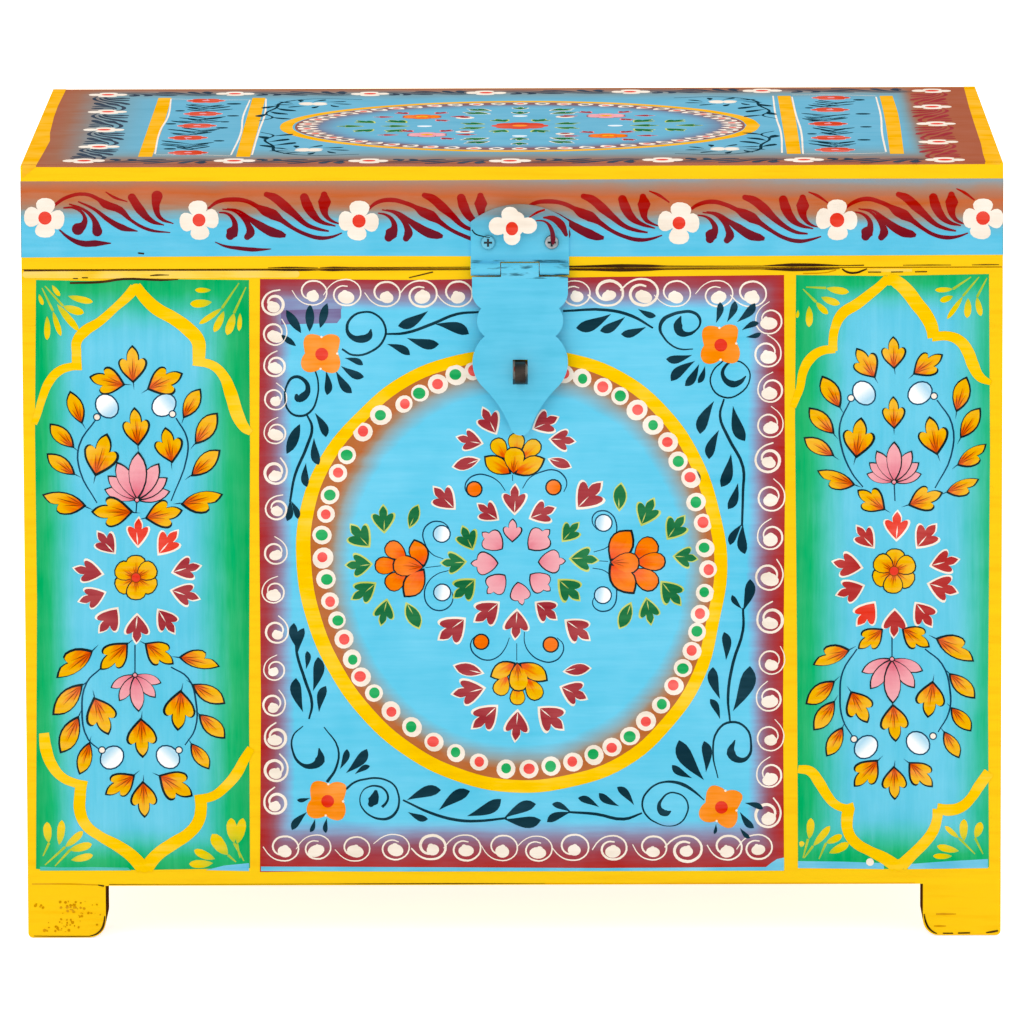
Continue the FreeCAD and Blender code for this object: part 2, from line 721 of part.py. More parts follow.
# Staple: one length of strap bent to an eye in front of the board, its two legs through the board and clinched
# away from each other inside.
def staple_outline():
    """The strap's edge, seen along X, round the middle of the staple on the board's front face."""
    thickness = number("Sizes.strap_thickness")
    outer = number("Sizes.staple_leg_spacing") / 2 + thickness / 2
    inner = outer - thickness
    eye = outer - number("Sizes.staple_reach")
    inside = number(WALL)
    turn = number("Sizes.staple_bend_radius")
    clinch = inside + turn
    end = outer + turn + number("Sizes.staple_clinch_length")
    quarter = 0.5**0.5

    def at(y, z):
        return Vector(0, y, z)

    bend_outside = at(inside + turn * quarter, outer + turn * (1 - quarter))
    bend_inside = at(inside + (turn + thickness) * quarter, outer + turn - (turn + thickness) * quarter)
    upper = [
        line(at(eye, outer), at(inside, outer)),
        arc(at(inside, outer), bend_outside, at(clinch, outer + turn)),
        line(at(clinch, outer + turn), at(clinch, end)),
        line(at(clinch, end), at(clinch + thickness, end)),
        line(at(clinch + thickness, end), at(clinch + thickness, outer + turn)),
        arc(at(clinch + thickness, outer + turn), bend_inside, at(inside, inner)),
        line(at(inside, inner), at(eye, inner)),
    ]
    lower = [edge.mirror(Vector(), Vector(0, 0, 1)) for edge in reversed(upper)]
    inner_eye = arc(at(eye, inner), at(eye - inner, 0), at(eye, -inner))
    outer_eye = arc(at(eye, -outer), at(eye - outer, 0), at(eye, outer))
    return [*upper, inner_eye, *lower, outer_eye]


staple = doc.addObject("Part::Feature", "BentStrap")
staple.Shape = Part.Face(Part.Wire(staple_outline())).extrude(Vector(number("Sizes.strap_width"), 0, 0))
staple_edge_x = number("Sizes.hasp_offset - Sizes.strap_width / 2")
staple.Placement = Placement(Vector(staple_edge_x, number(FRONT), number(STAPLE_HEIGHT)), Rotation())
subpart(staple, "hasp_staple")

# Every piece is checked before anything is written.
doc.recompute()
for made in doc.Objects:
    if {"Invalid", "Error"} & set(made.State):
        raise RuntimeError(f"{made.Label} failed: {made.State}")
os.makedirs("parts", exist_ok=True)
for made in SUBPARTS:
    if made.Shape.isNull() or not made.Shape.isValid() or not made.Shape.Solids:
        raise RuntimeError(f"{made.Label} has no valid solid")
for made in SUBPARTS:
    made.Shape.exportStep(f"parts/{made.Label}.step")
    print(made.Label, len(made.Shape.Solids), round(made.Shape.Volume, 1))
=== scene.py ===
import math
import random
from collections import defaultdict

import bmesh
import bpy
from mathutils import Matrix, Vector


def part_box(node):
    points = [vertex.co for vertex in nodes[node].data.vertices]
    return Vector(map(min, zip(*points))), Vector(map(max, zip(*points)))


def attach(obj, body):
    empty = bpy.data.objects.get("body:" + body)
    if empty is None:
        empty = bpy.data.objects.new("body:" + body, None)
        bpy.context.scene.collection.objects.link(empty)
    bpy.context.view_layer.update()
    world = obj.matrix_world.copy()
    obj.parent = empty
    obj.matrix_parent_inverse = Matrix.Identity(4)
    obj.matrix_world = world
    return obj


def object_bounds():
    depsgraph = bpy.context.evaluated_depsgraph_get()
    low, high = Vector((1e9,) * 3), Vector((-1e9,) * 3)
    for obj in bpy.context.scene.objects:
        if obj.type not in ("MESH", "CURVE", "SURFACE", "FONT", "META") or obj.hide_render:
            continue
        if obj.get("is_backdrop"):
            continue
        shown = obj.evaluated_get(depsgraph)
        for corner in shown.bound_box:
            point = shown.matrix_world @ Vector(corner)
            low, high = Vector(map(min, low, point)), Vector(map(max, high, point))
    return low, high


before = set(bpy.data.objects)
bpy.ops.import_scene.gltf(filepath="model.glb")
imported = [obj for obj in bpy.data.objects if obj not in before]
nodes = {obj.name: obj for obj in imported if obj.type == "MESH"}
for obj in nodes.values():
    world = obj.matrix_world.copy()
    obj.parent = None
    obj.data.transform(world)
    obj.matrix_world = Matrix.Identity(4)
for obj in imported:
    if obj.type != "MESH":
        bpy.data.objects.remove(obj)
cad_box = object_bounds()
scene = bpy.context.scene


# Studio: a long lens looks down a little at the trunk's front, on a sheet of white acrylic that is lit a
# little from below, under soft light. The camera was fitted to the corners of the trunk in the photograph.
CAMERA_TARGET = Vector((-0.00114, 0.0, 0.1949))
CAMERA_DISTANCE = 5.4796
CAMERA_PITCH = math.radians(8.648)
CAMERA_YAW = math.radians(-0.224)
CAMERA_ROLL = math.radians(-0.195)
CAMERA_LENS = 365.1
CAMERA_SENSOR = 36.0

forward = Vector((
    math.sin(CAMERA_YAW) * math.cos(CAMERA_PITCH),
    math.cos(CAMERA_YAW) * math.cos(CAMERA_PITCH),
    -math.sin(CAMERA_PITCH),
))
sight = forward.to_track_quat("-Z", "Y").to_matrix() @ Matrix.Rotation(CAMERA_ROLL, 3, "Z")
bpy.ops.object.camera_add(location=CAMERA_TARGET - forward * CAMERA_DISTANCE, rotation=sight.to_euler())
camera = bpy.context.object
camera.data.lens = CAMERA_LENS
camera.data.sensor_width = CAMERA_SENSOR
scene.camera = camera
scene.view_settings.view_transform = "Standard"


def linear(code):
    """An sRGB hex colour as linear red, green and blue, and full alpha."""
    channels = [int(code[i:i + 2], 16) / 255 for i in (1, 3, 5)]
    return [c / 12.92 if c <= 0.04045 else ((c + 0.055) / 1.055) ** 2.4 for c in channels] + [1.0]


def blank_material(name):
    """A new material with no nodes in it yet."""
    material = bpy.data.materials.new(name)
    material.use_nodes = True
    material.node_tree.nodes.clear()
    return material


def add_node(material, kind, inputs=None, stops=None, **settings):
    """Adds one shader node with its settings, sets or links its inputs, and gives a ramp its colour stops."""
    node = material.node_tree.nodes.new("ShaderNode" + kind)
    for name, value in settings.items():
        setattr(node, name, value)
    for key, value in (inputs or {}).items():
        if isinstance(value, bpy.types.NodeSocket):
            material.node_tree.links.new(value, node.inputs[key])
        else:
            node.inputs[key].default_value = value
    if stops:
        elements = node.color_ramp.elements
        elements[0].position, elements[0].color = stops[0][0], linear(stops[0][1])
        elements[1].position, elements[1].color = stops[-1][0], linear(stops[-1][1])
        for place, code in stops[1:-1]:
            elements.new(place).color = linear(code)
    return node


WHITE = (1.0, 1.0, 1.0, 1.0)
WORLD_STRENGTH = 0.9
world = bpy.data.worlds.new("white_studio")
scene.world = world
world.use_nodes = True
background = world.node_tree.nodes["Background"]
background.inputs["Color"].default_value = WHITE
background.inputs["Strength"].default_value = WORLD_STRENGTH

for light_name, place, turn, size, power in (
    ("front_softbox", (-1.2, -3.0, 2.4), (58, 0, -22), 2.4, 16.0),
    ("top_softbox", (0.4, 0.3, 3.0), (0, 0, 0), 2.6, 8.0),
):
    bpy.ops.object.light_add(type="AREA", location=place, rotation=[math.radians(a) for a in turn])
    bpy.context.object.name = light_name
    bpy.context.object.data.shape = "DISK"
    bpy.context.object.data.size = size
    bpy.context.object.data.energy = power

# Matt white acrylic: near white all over, with no highlight. It glows more to the camera than on the trunk,
# so that it is white in the picture and throws little light up.
SHEET_WIDE = 30.0
SHEET_LEVEL = -0.0005
SHEET_GLOW_THROWN, SHEET_GLOW_SEEN = 0.13, 0.8
bpy.ops.object.select_all(action="DESELECT")
bpy.ops.mesh.primitive_plane_add(size=SHEET_WIDE, location=(0.0, 0.0, SHEET_LEVEL))
floor = bpy.context.object
floor.name = "acrylic_sheet"
acrylic = blank_material("white_acrylic")
sheet_grain = add_node(acrylic, "TexNoise", {
    "Vector": add_node(acrylic, "TexCoord").outputs["Object"], "Scale": 60.0, "Detail": 3.0})
sheet_shade = add_node(acrylic, "ValToRGB", {"Fac": sheet_grain.outputs["Fac"]},
                       stops=((0.3, "#F6F6F5"), (0.7, "#FBFBFA")))
sheet_glow = add_node(acrylic, "MapRange", {
    "Value": add_node(acrylic, "LightPath").outputs["Is Camera Ray"],
    "To Min": SHEET_GLOW_THROWN, "To Max": SHEET_GLOW_SEEN})
sheet_surface = add_node(acrylic, "BsdfPrincipled", {
    "Base Color": sheet_shade.outputs["Color"], "Roughness": 0.9, "Specular IOR Level": 0.1,
    "Emission Color": WHITE, "Emission Strength": sheet_glow.outputs[0]})
add_node(acrylic, "OutputMaterial", {"Surface": sheet_surface.outputs["BSDF"]})
floor.data.materials.append(acrylic)
floor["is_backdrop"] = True


# Boards of the carcass and of the lid: planed mango wood, nailed at rebated corners. Outside they are
# brushed with yellow oil enamel, inside they are bare. The floor and the lid's top are the same boards laid
# flat.
YELLOW = "#FFCC18"
YELLOW_DEEP = "#FBC114"
BOARD_TONES = ((0.25, YELLOW_DEEP), (0.5, YELLOW), (0.8, "#FFD116"))
# Grain lines to the metre along X, Y and Z: they run along the boards.
STANDING_GRAIN, FLAT_GRAIN = (9.0, 9.0, 300.0), (9.0, 300.0, 300.0)
# The bare inside of the shut trunk, in metres: half its width, its front and back, its floor and ceiling.
INSIDE_X, INSIDE_FRONT, INSIDE_BACK, INSIDE_LOW, INSIDE_HIGH = 0.2385, -0.1587, 0.1683, 0.0325, 0.3925


def painted_board(name, grain_scale, tones):
    """Brushed enamel outside and bare planed wood inside, told apart by where the surface lies.

    The enamel is dulled by use, with streaks of the brush about 4 mm apart; the wood is dull, with brown
    grain lines about 3 mm apart along the board."""
    material = blank_material(name)
    place = add_node(material, "TexCoord").outputs["Object"]
    axes = add_node(material, "SeparateXYZ", {"Vector": place})
    across = add_node(material, "Math", {0: axes.outputs["X"]}, operation="ABSOLUTE")
    inside = add_node(material, "Math", {0: across.outputs[0], 1: INSIDE_X}, operation="LESS_THAN")
    for axis, limit, test in (
        ("Y", INSIDE_FRONT, "GREATER_THAN"), ("Y", INSIDE_BACK, "LESS_THAN"),
        ("Z", INSIDE_LOW, "GREATER_THAN"), ("Z", INSIDE_HIGH, "LESS_THAN"),
    ):
        within = add_node(material, "Math", {0: axes.outputs[axis], 1: limit}, operation=test)
        inside = add_node(material, "Math", {0: inside.outputs[0], 1: within.outputs[0]},
                          operation="MULTIPLY")
    streaks = add_node(material, "TexNoise", {
        "Vector": add_node(material, "Mapping", {
            "Vector": place, "Scale": (18.0, 260.0, 260.0)}).outputs["Vector"],
        "Scale": 1.0, "Detail": 4.0, "Roughness": 0.6})
    coat = add_node(material, "ValToRGB", {"Fac": streaks.outputs["Fac"]}, stops=tones)
    grain = add_node(material, "TexNoise", {
        "Vector": add_node(material, "Mapping", {
            "Vector": place, "Scale": grain_scale}).outputs["Vector"],
        "Scale": 1.0, "Detail": 6.0, "Roughness": 0.62, "Distortion": 0.6})
    bare = add_node(material, "ValToRGB", {"Fac": grain.outputs["Fac"]},
                    stops=((0.28, "#7E5530"), (0.45, "#B4834F"), (0.6, "#C99B66"), (0.8, "#9A6B3D")))
    colour = add_node(material, "Mix", {
        "Factor": inside.outputs[0], "A": coat.outputs["Color"], "B": bare.outputs["Color"]},
        data_type="RGBA")
    rough = add_node(material, "MapRange", {
        "Value": inside.outputs[0], "To Min": 0.45, "To Max": 0.75})
    relief = add_node(material, "Bump", {
        "Height": streaks.outputs["Fac"], "Strength": 0.25, "Distance": 0.0004})
    surface = add_node(material, "BsdfPrincipled", {
        "Base Color": colour.outputs["Result"], "Roughness": rough.outputs[0],
        "Normal": relief.outputs["Normal"], "IOR": 1.48, "Specular IOR Level": 0.0})
    add_node(material, "OutputMaterial", {"Surface": surface.outputs["BSDF"]})
    return material


def finish(material, *names):
    """Gives CAD nodes their material."""
    for name in names:
        for material_slot in nodes[name].material_slots:
            material_slot.material = material


yellow_board = painted_board("yellow_enamel_on_mango_wood", STANDING_GRAIN, BOARD_TONES)
flat_board = painted_board("yellow_enamel_on_flat_mango_wood", FLAT_GRAIN, BOARD_TONES)
finish(yellow_board, "front_panel", "back_panel", "left_side_panel", "right_side_panel",
       "carcass_corner_nails", "lid_front_rail", "lid_back_rail", "lid_left_rail", "lid_right_rail",
       "lid_corner_nails")
finish(flat_board, "floor_panel", "lid_top_panel", "lid_top_nails")


# Feet: square blocks of the same wood, rounded below and screwed under the floor. They are yellow too, but
# for their inner sides and their soles, which are dark brown: stain, and painted shade on faces turned inward
# and down.
FOOT_TONES = ((0.25, "#FDBE08"), (0.5, YELLOW), (0.8, "#FFCE10"))
# A surface is stained and darkened as painted shade where it faces inward or down by more than this.
STAIN_AND_SHADE_FACING = -0.3


def cover(material, share, stops):
    """Lays another colour, uneven over about 6 mm, over a material's own where share is 1."""
    surface = material.node_tree.nodes["Principled BSDF"]
    patches = add_node(material, "TexNoise", {
        "Vector": add_node(material, "TexCoord").outputs["Object"], "Scale": 160.0, "Detail": 3.0})
    over = add_node(material, "ValToRGB", {"Fac": patches.outputs["Fac"]}, stops=stops)
    colour = add_node(material, "Mix", {
        "Factor": share, "A": surface.inputs["Base Color"].links[0].from_socket,
        "B": over.outputs["Color"]}, data_type="RGBA")
    material.node_tree.links.new(colour.outputs["Result"], surface.inputs["Base Color"])


foot_block = painted_board("yellow_enamel_on_stained_and_shaded_block", STANDING_GRAIN, FOOT_TONES)
foot_place = add_node(foot_block, "SeparateXYZ", {
    "Vector": add_node(foot_block, "TexCoord").outputs["Object"]})
foot_facing = add_node(foot_block, "SeparateXYZ", {
    "Vector": add_node(foot_block, "TexCoord").outputs["Normal"]})
foot_side = add_node(foot_block, "Math", {0: foot_place.outputs["X"]}, operation="SIGN")
foot_outward = add_node(foot_block, "Math", {
    0: foot_side.outputs[0], 1: foot_facing.outputs["X"]}, operation="MULTIPLY")
foot_inner = add_node(foot_block, "Math", {
    0: foot_outward.outputs[0], 1: STAIN_AND_SHADE_FACING}, operation="LESS_THAN")
foot_sole = add_node(foot_block, "Math", {
    0: foot_facing.outputs["Z"], 1: STAIN_AND_SHADE_FACING}, operation="LESS_THAN")
foot_stain_and_shade = add_node(foot_block, "Math", {
    0: foot_inner.outputs[0], 1: foot_sole.outputs[0]}, operation="MAXIMUM")
# Dark brown on faces turned inward or down: stain, and painted shade.
cover(foot_block, foot_stain_and_shade.outputs[0], ((0.3, "#3E2410"), (0.5, "#54331A"), (0.7, "#74491E")))
finish(foot_block, "front_left_foot", "front_right_foot", "rear_left_foot", "rear_right_foot")


# Painted grounds of the front: three fields of oil enamel between yellow frames, blended wet from green or
# maroon at their edges to turquoise in the middle. Paint is modelled as films 0.12 mm thick, and its places
# are read from the photograph in pixels, about 0.51 mm each on the front.
TURQUOISE = "#6ACEEE"
PICTURE_WIDE = 1024
PIXEL_WIDE = 0.5115
FILM = 0.12
GROUND_TOP = 0.1
METRE, MM = 1000, 0.001
FRONT_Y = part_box("front_panel")[0].y


def seen(across, down, axis, level):
    """The place, on a plane square to an axis, that the camera sees at a pixel of the photograph."""
    focal = CAMERA_LENS / CAMERA_SENSOR * PICTURE_WIDE
    ray = sight @ Vector(((across - PICTURE_WIDE / 2) / focal, (PICTURE_WIDE / 2 - down) / focal, -1.0))
    return camera.location + ray * ((level - camera.location[axis]) / ray[axis])


def spot(across, down):
    """The place on the front, in mm from its middle and from the floor, of a pixel of the photograph."""
    place = seen(across, down, 1, FRONT_Y)
    return place.x * METRE, place.z * METRE


def face(origin, right, up, rise=1.0):
    """The matrix from a board's own mm, x right, y up and z out as one looks at it, to the frame's metres."""
    right, up = Vector(right), Vector(up)
    axes = Matrix((right, up, right.cross(up) * rise)).transposed()
    return Matrix.Translation(origin) @ axes.to_4x4() @ Matrix.Scale(MM, 4)


def film_shape(points, resolution=3):
    """A flat film cut from a smooth outline, its top at z 0; a point with a third value is a sharp corner."""
    curve = bpy.data.curves.new("motif", "CURVE")
    curve.dimensions = "2D"
    curve.fill_mode = "BOTH"
    curve.extrude = FILM / 2
    curve.resolution_u = resolution
    spline = curve.splines.new("BEZIER")
    spline.bezier_points.add(len(points) - 1)
    for point, (x, y, *sharp) in zip(spline.bezier_points, points):
        point.co = (x, y, 0.0)
        point.handle_left_type = point.handle_right_type = "VECTOR" if sharp else "AUTO"
    spline.use_cyclic_u = True
    spline.use_smooth = False
    holder = bpy.data.objects.new("motif", curve)
    mesh = bpy.data.meshes.new_from_object(holder)
    bpy.data.objects.remove(holder)
    shell = bmesh.new()
    shell.from_mesh(mesh)
    bmesh.ops.remove_doubles(shell, verts=shell.verts, dist=1e-4)
    bmesh.ops.translate(shell, verts=shell.verts, vec=(0.0, 0.0, -FILM / 2))
    tint = shell.loops.layers.uv.new("base_to_tip")
    for side in shell.faces:
        side.smooth = False
        for loop in side.loops:
            loop[tint].uv = (loop.vert.co.x + 0.5, loop.vert.co.y)
    shell.to_mesh(mesh)
    shell.free()
    return mesh


def straight(points):
    """A flat film with straight sides between points in mm."""
    return film_shape([(*point, 1) for point in points], 1)


def lay(name, marks, board, top, material, body):
    """Joins marks of one colour, lays them with their top that many mm above their board, and fixes them."""
    bpy.ops.object.select_all(action="DESELECT")
    for mesh in marks:
        piece = bpy.data.objects.new(name, mesh)
        scene.collection.objects.link(piece)
        piece.select_set(True)
    bpy.context.view_layer.objects.active = piece
    if len(marks) > 1:
        bpy.ops.object.join()
    piece.data.name = name
    piece.data.transform(board @ Matrix.Translation((0.0, 0.0, top)))
    bpy.ops.object.mode_set(mode="EDIT")
    bpy.ops.mesh.select_all(action="SELECT")
    bpy.ops.mesh.normals_make_consistent(inside=False)
    bpy.ops.object.mode_set(mode="OBJECT")
    piece.data.materials.clear()
    piece.data.materials.append(material)
    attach(piece, body)
    return piece


# Streaks to the metre along X, Y and Z, for a brush drawn up and down or from side to side.
UPRIGHT, LEVEL = (320.0, 320.0, 25.0), (25.0, 320.0, 320.0)


def enamel(name, stops, fade=None, blend=0.12, rough=0.45, grain=LEVEL):
    """Brushed oil enamel, dulled by use: its colour runs along a ramp by the fade, with streaks of the brush.

    The streaks are about 3 mm apart, drawn coarser than real brush hairs so that they show."""
    material = blank_material(name)
    place = add_node(material, "TexCoord").outputs["Object"]
    streaks = add_node(material, "TexNoise", {
        "Vector": add_node(material, "Mapping", {
            "Vector": place, "Scale": grain}).outputs["Vector"],
        "Scale": 1.0, "Detail": 3.0, "Roughness": 0.6})
    dabs = add_node(material, "TexNoise", {"Vector": place, "Scale": 45.0, "Detail": 2.0})
    both = add_node(material, "Math", {0: streaks.outputs["Fac"], 1: dabs.outputs["Fac"]},
                    operation="ADD")
    uneven = add_node(material, "Math", {0: both.outputs[0], 1: -1.0}, operation="ADD")
    amount = add_node(material, "Math", {
        0: uneven.outputs[0], 1: blend, 2: fade(material, place) if fade else 0.5}, operation="MULTIPLY_ADD")
    plain = add_node(material, "ValToRGB", {"Fac": amount.outputs[0]}, stops=stops)
    thick = add_node(material, "MapRange", {
        "Value": uneven.outputs[0], "From Min": -0.4, "From Max": 0.4, "To Min": 0.945, "To Max": 1.045})
    thin = add_node(material, "Math", {0: 2.0, 1: thick.outputs[0]}, operation="SUBTRACT")
    colour = add_node(material, "HueSaturation", {
        "Saturation": thin.outputs[0], "Value": thick.outputs[0], "Color": plain.outputs["Color"]})
    relief = add_node(material, "Bump", {
        "Height": both.outputs[0], "Strength": 0.2, "Distance": 0.0003})
    surface = add_node(material, "BsdfPrincipled", {
        "Base Color": colour.outputs["Color"], "Roughness": rough, "Normal": relief.outputs["Normal"],
        "IOR": 1.48, "Specular IOR Level": 0.0})
    add_node(material, "OutputMaterial", {"Surface": surface.outputs["BSDF"]})
    return material


def edge_fade(edges, reach, repeat=None):
    """A fade from 0 at a field's edges to 1 at its reach inside them, in metres, low and high for each axis.

    With repeat, the field is repeated along Y at that step."""
    def fade(material, place):
        parts = add_node(material, "SeparateXYZ", {"Vector": place})
        nearest = None
        for axis, (low, high) in edges.items():
            away = add_node(material, "Math", {
                0: parts.outputs[axis], 1: (low + high) / 2}, operation="SUBTRACT")
            if repeat and axis == "Y":
                away = add_node(material, "Math", {
                    0: away.outputs[0], 1: repeat / 2, 2: -repeat / 2}, operation="WRAP")
            for way, span in zip((1.0, -1.0), reach[axis]):
                share = add_node(material, "Math", {
                    0: away.outputs[0], 1: way / span, 2: (high - low) / 2 / span}, operation="MULTIPLY_ADD")
                if nearest is None:
                    nearest = share
                else:
                    nearest = add_node(material, "Math", {
                        0: nearest.outputs[0], 1: share.outputs[0], 2: 0.3}, operation="SMOOTH_MIN")
        return nearest.outputs[0]
    return fade


FRONT = face((0.0, FRONT_Y, 0.0), (1, 0, 0), (0, 0, 1))
FIELD_HEIGHTS = (0.034, 0.345)
GREEN_FADE = ((0.0, "#1CAA5E"), (0.28, "#28B672"), (0.46, "#40BFA0"), (0.64, "#5AC8CA"), (0.82, "#66CAE2"),
              (1.0, "#6ACCE8"))
MAROON_FADE = ((0.0, "#B2342E"), (0.24, "#A63E46"), (0.42, "#9A5462"), (0.55, "#946E86"), (0.7, "#9092B2"),
               (0.86, "#80B6DC"), (1.0, TURQUOISE))
LEFT_FIELD = ((36, 280), (90, 281), (150, 279), (249, 280), (250, 450), (249, 700), (250, 868), (140, 870),
              (36, 869), (37, 600), (35, 430))
RIGHT_FIELD = ((796, 275), (880, 276), (989, 274), (990, 450), (988, 700), (989, 867), (900, 869),
               (798, 868), (797, 640), (795, 420))
CENTRE_FIELD = ((260, 279), (420, 280), (600, 277), (784, 275), (785, 480), (783, 700), (784, 870),
                (560, 871), (400, 870), (260, 872), (261, 700), (259, 480))
for name, outline, edges_x, reach_x, reach_z in (
    ("front_left_ground", LEFT_FIELD, (-0.245, -0.136), (0.026, 0.033), (0.027, 0.037)),
    ("front_right_ground", RIGHT_FIELD, (0.1415, 0.255), (0.036, 0.036), (0.032, 0.025)),
):
    green_ground = enamel(name + "_enamel", GREEN_FADE, edge_fade(
        {"X": edges_x, "Z": FIELD_HEIGHTS}, {"X": reach_x, "Z": reach_z}), 0.16, grain=UPRIGHT)
    lay(name, [straight([spot(*p) for p in outline])], FRONT, GROUND_TOP, green_ground, "carcass")
maroon_ground = enamel("front_centre_ground_enamel", MAROON_FADE, edge_fade(
    {"X": (-0.1307, 0.1377), "Z": (0.0358, 0.3445)}, {"X": (0.018, 0.0175), "Z": (0.025, 0.0198)}), 0.18)
lay("front_centre_ground", [straight([spot(*p) for p in CENTRE_FIELD])], FRONT, GROUND_TOP, maroon_ground,
    "carcass")


# Ground of the front's medallion: a disc of enamel blended wet from brown at its rim to turquoise. What is
# painted over the grounds is strokes of a brush, which may swell and taper, and motifs of a few shapes, set
# down in copies.
RING = ((512, 354), (457, 361), (405, 381), (362, 416), (327, 459), (307, 511), (304, 566), (314, 619),
        (335, 668), (366, 712), (406, 748), (456, 774), (511, 786), (569, 781), (624, 761), (668, 722),
        (699, 674), (713, 620), (721, 566), (713, 512), (695, 460), (664, 414), (620, 378), (567, 359))
# The fade's own oval, in pixels, and the metres that it reaches in from the rim.
RING_MIDDLE, RING_HALVES = (517.6, 568.8), (211.5, 226.5)
RING_REACH = 0.0225
DISC_TOP = 0.16
# The end of a stroke that is broader than this, in pixels, is rounded off.
BLUNT = 3.5


def stroke(marks, points, widths, resolution=4, lift=0.0):
    """One stroke of a brush through points in mm; its width runs along the given widths from start to end."""
    curve = bpy.data.curves.new("stroke", "CURVE")
    curve.dimensions = "3D"
    curve.bevel_depth = 0.5
    curve.bevel_resolution = 1
    curve.use_fill_caps = True
    curve.resolution_u = resolution
    spline = curve.splines.new("BEZIER")
    spline.bezier_points.add(len(points) - 1)
    for index, (point, place) in enumerate(zip(spline.bezier_points, points)):
        along = index / (len(points) - 1) * (len(widths) - 1)
        step = min(int(along), len(widths) - 2)
        point.co = (place[0], place[1], 0.0)
        point.radius = widths[step] + (widths[step + 1] - widths[step]) * (along - step)
        point.handle_left_type = point.handle_right_type = "AUTO"
    holder = bpy.data.objects.new("stroke", curve)
    mesh = bpy.data.meshes.new_from_object(holder)
    bpy.data.objects.remove(holder)
    flat = Matrix.Diagonal((1.0, 1.0, FILM / max(widths), 1.0))
    mesh.transform(Matrix.Translation((0.0, 0.0, lift - FILM / 2)) @ flat)
    mesh.shade_flat()
    marks.append(mesh)


def stamp(marks, shape, base, tip, width=1.0, lift=0.0):
    """One copy of a motif, from base to tip in mm; a negative width mirrors it."""
    reach = Vector((tip[0] - base[0], tip[1] - base[1]))
    side = Vector((reach.y, -reach.x)) * width
    mesh = shape.copy()
    mesh.transform(Matrix((
        (side.x, reach.x, 0.0, base[0]),
        (side.y, reach.y, 0.0, base[1]),
        (0.0, 0.0, 1.0, lift),
        (0.0, 0.0, 0.0, 1.0),
    )))
    marks.append(mesh)


disc = film_shape([
    (0.5 * math.sin(a * math.pi / 4), 0.5 + 0.5 * math.cos(a * math.pi / 4)) for a in range(8)], 2)


def dot(marks, centre, radius, lift=0.0, squash=1.0, turn=0.0):
    """A round dab of paint, or an oval one, about a centre in mm."""
    reach = Vector((-math.sin(turn), math.cos(turn))) * radius
    base = (centre[0] - reach.x, centre[1] - reach.y)
    tip = (centre[0] + reach.x, centre[1] + reach.y)
    stamp(marks, disc, base, tip, squash, lift)


def brush(marks, place, line, lift=0.0, resolution=4, blunt=BLUNT):
    """One stroke through pixels of the photograph, put on a board by place; each has the brush's width there.

    An end broader than blunt is rounded off."""
    points = [place(x, y) for x, y, width in line]
    stroke(marks, points, [width * PIXEL_WIDE for x, y, width in line], resolution, lift)
    for x, y, width in (line[0], line[-1]):
        if width > blunt:
            dot(marks, place(x, y), width * PIXEL_WIDE / 2, lift - 0.004)


def ring_fade(centre, across, along, reach):
    """A fade from 0 at an oval's rim to 1 at reach metres inside it, on the front."""
    stretch = across / along

    def fade(material, place):
        flat = add_node(material, "VectorMath", {0: place, 1: (1.0, 0.0, stretch)}, operation="MULTIPLY")
        away = add_node(material, "VectorMath", {
            0: flat.outputs["Vector"], 1: (centre[0], 0.0, centre[1] * stretch)}, operation="DISTANCE")
        inset = add_node(material, "Math", {0: across, 1: away.outputs["Value"]}, operation="SUBTRACT")
        return add_node(material, "Math", {0: inset.outputs[0], 1: reach}, operation="DIVIDE").outputs[0]
    return fade


ring_x, ring_z = spot(*RING_MIDDLE)
ring_halves = [half * PIXEL_WIDE * MM for half in RING_HALVES]
disc_ground = enamel("front_medallion_ground_enamel", (
    (0.0, "#BC6E36"), (0.44, "#BC6E40"), (0.58, "#A8886E"), (0.68, "#98A4A4"), (0.84, "#82BACE"),
    (1.0, TURQUOISE)), ring_fade((ring_x * MM, ring_z * MM), *ring_halves, RING_REACH), 0.14)
lay("front_medallion_ground", [film_shape([spot(*p) for p in RING], 4)], FRONT, DISC_TOP, disc_ground,
    "carcass")


# Painted side fields of the front: each holds an arch drawn twice, above and below, round a wreath with a
# spray of gold leaves, pearls and a lotus over and under it. Every motif is a thin film of enamel: fill,
# outline and veins.
TREFOIL = [(0, 0, 1), (0.13, 0.12), (0.29, 0.29), (0.385, 0.46), (0.385, 0.59), (0.29, 0.66),
           (0.175, 0.6, 1), (0.17, 0.75), (0.1, 0.9), (0, 1, 1), (-0.11, 0.89), (-0.165, 0.74),
           (-0.165, 0.6, 1), (-0.3, 0.66), (-0.39, 0.58), (-0.38, 0.45), (-0.29, 0.28), (-0.12, 0.11)]
IVY = [(0, 0, 1), (0.13, 0.12), (0.29, 0.31), (0.41, 0.52), (0.41, 0.67), (0.29, 0.68), (0.15, 0.6, 1),
       (0.16, 0.79), (0.02, 1, 1), (-0.15, 0.78), (-0.14, 0.61, 1), (-0.29, 0.69), (-0.42, 0.66),
       (-0.41, 0.5), (-0.28, 0.29), (-0.12, 0.11)]
SPADE = [(0, 0, 1), (0.18, 0.12), (0.38, 0.4), (0.42, 0.6), (0.31, 0.74), (0.14, 0.78, 1), (0.1, 0.9),
         (0, 1, 1), (-0.1, 0.9), (-0.13, 0.78, 1), (-0.3, 0.75), (-0.42, 0.6), (-0.37, 0.4), (-0.17, 0.12)]
POINTED_LEAF = [(0, 0, 1), (0.16, 0.2), (0.25, 0.5), (0.17, 0.8), (0.02, 1, 1), (-0.18, 0.8), (-0.24, 0.5),
                (-0.14, 0.2)]
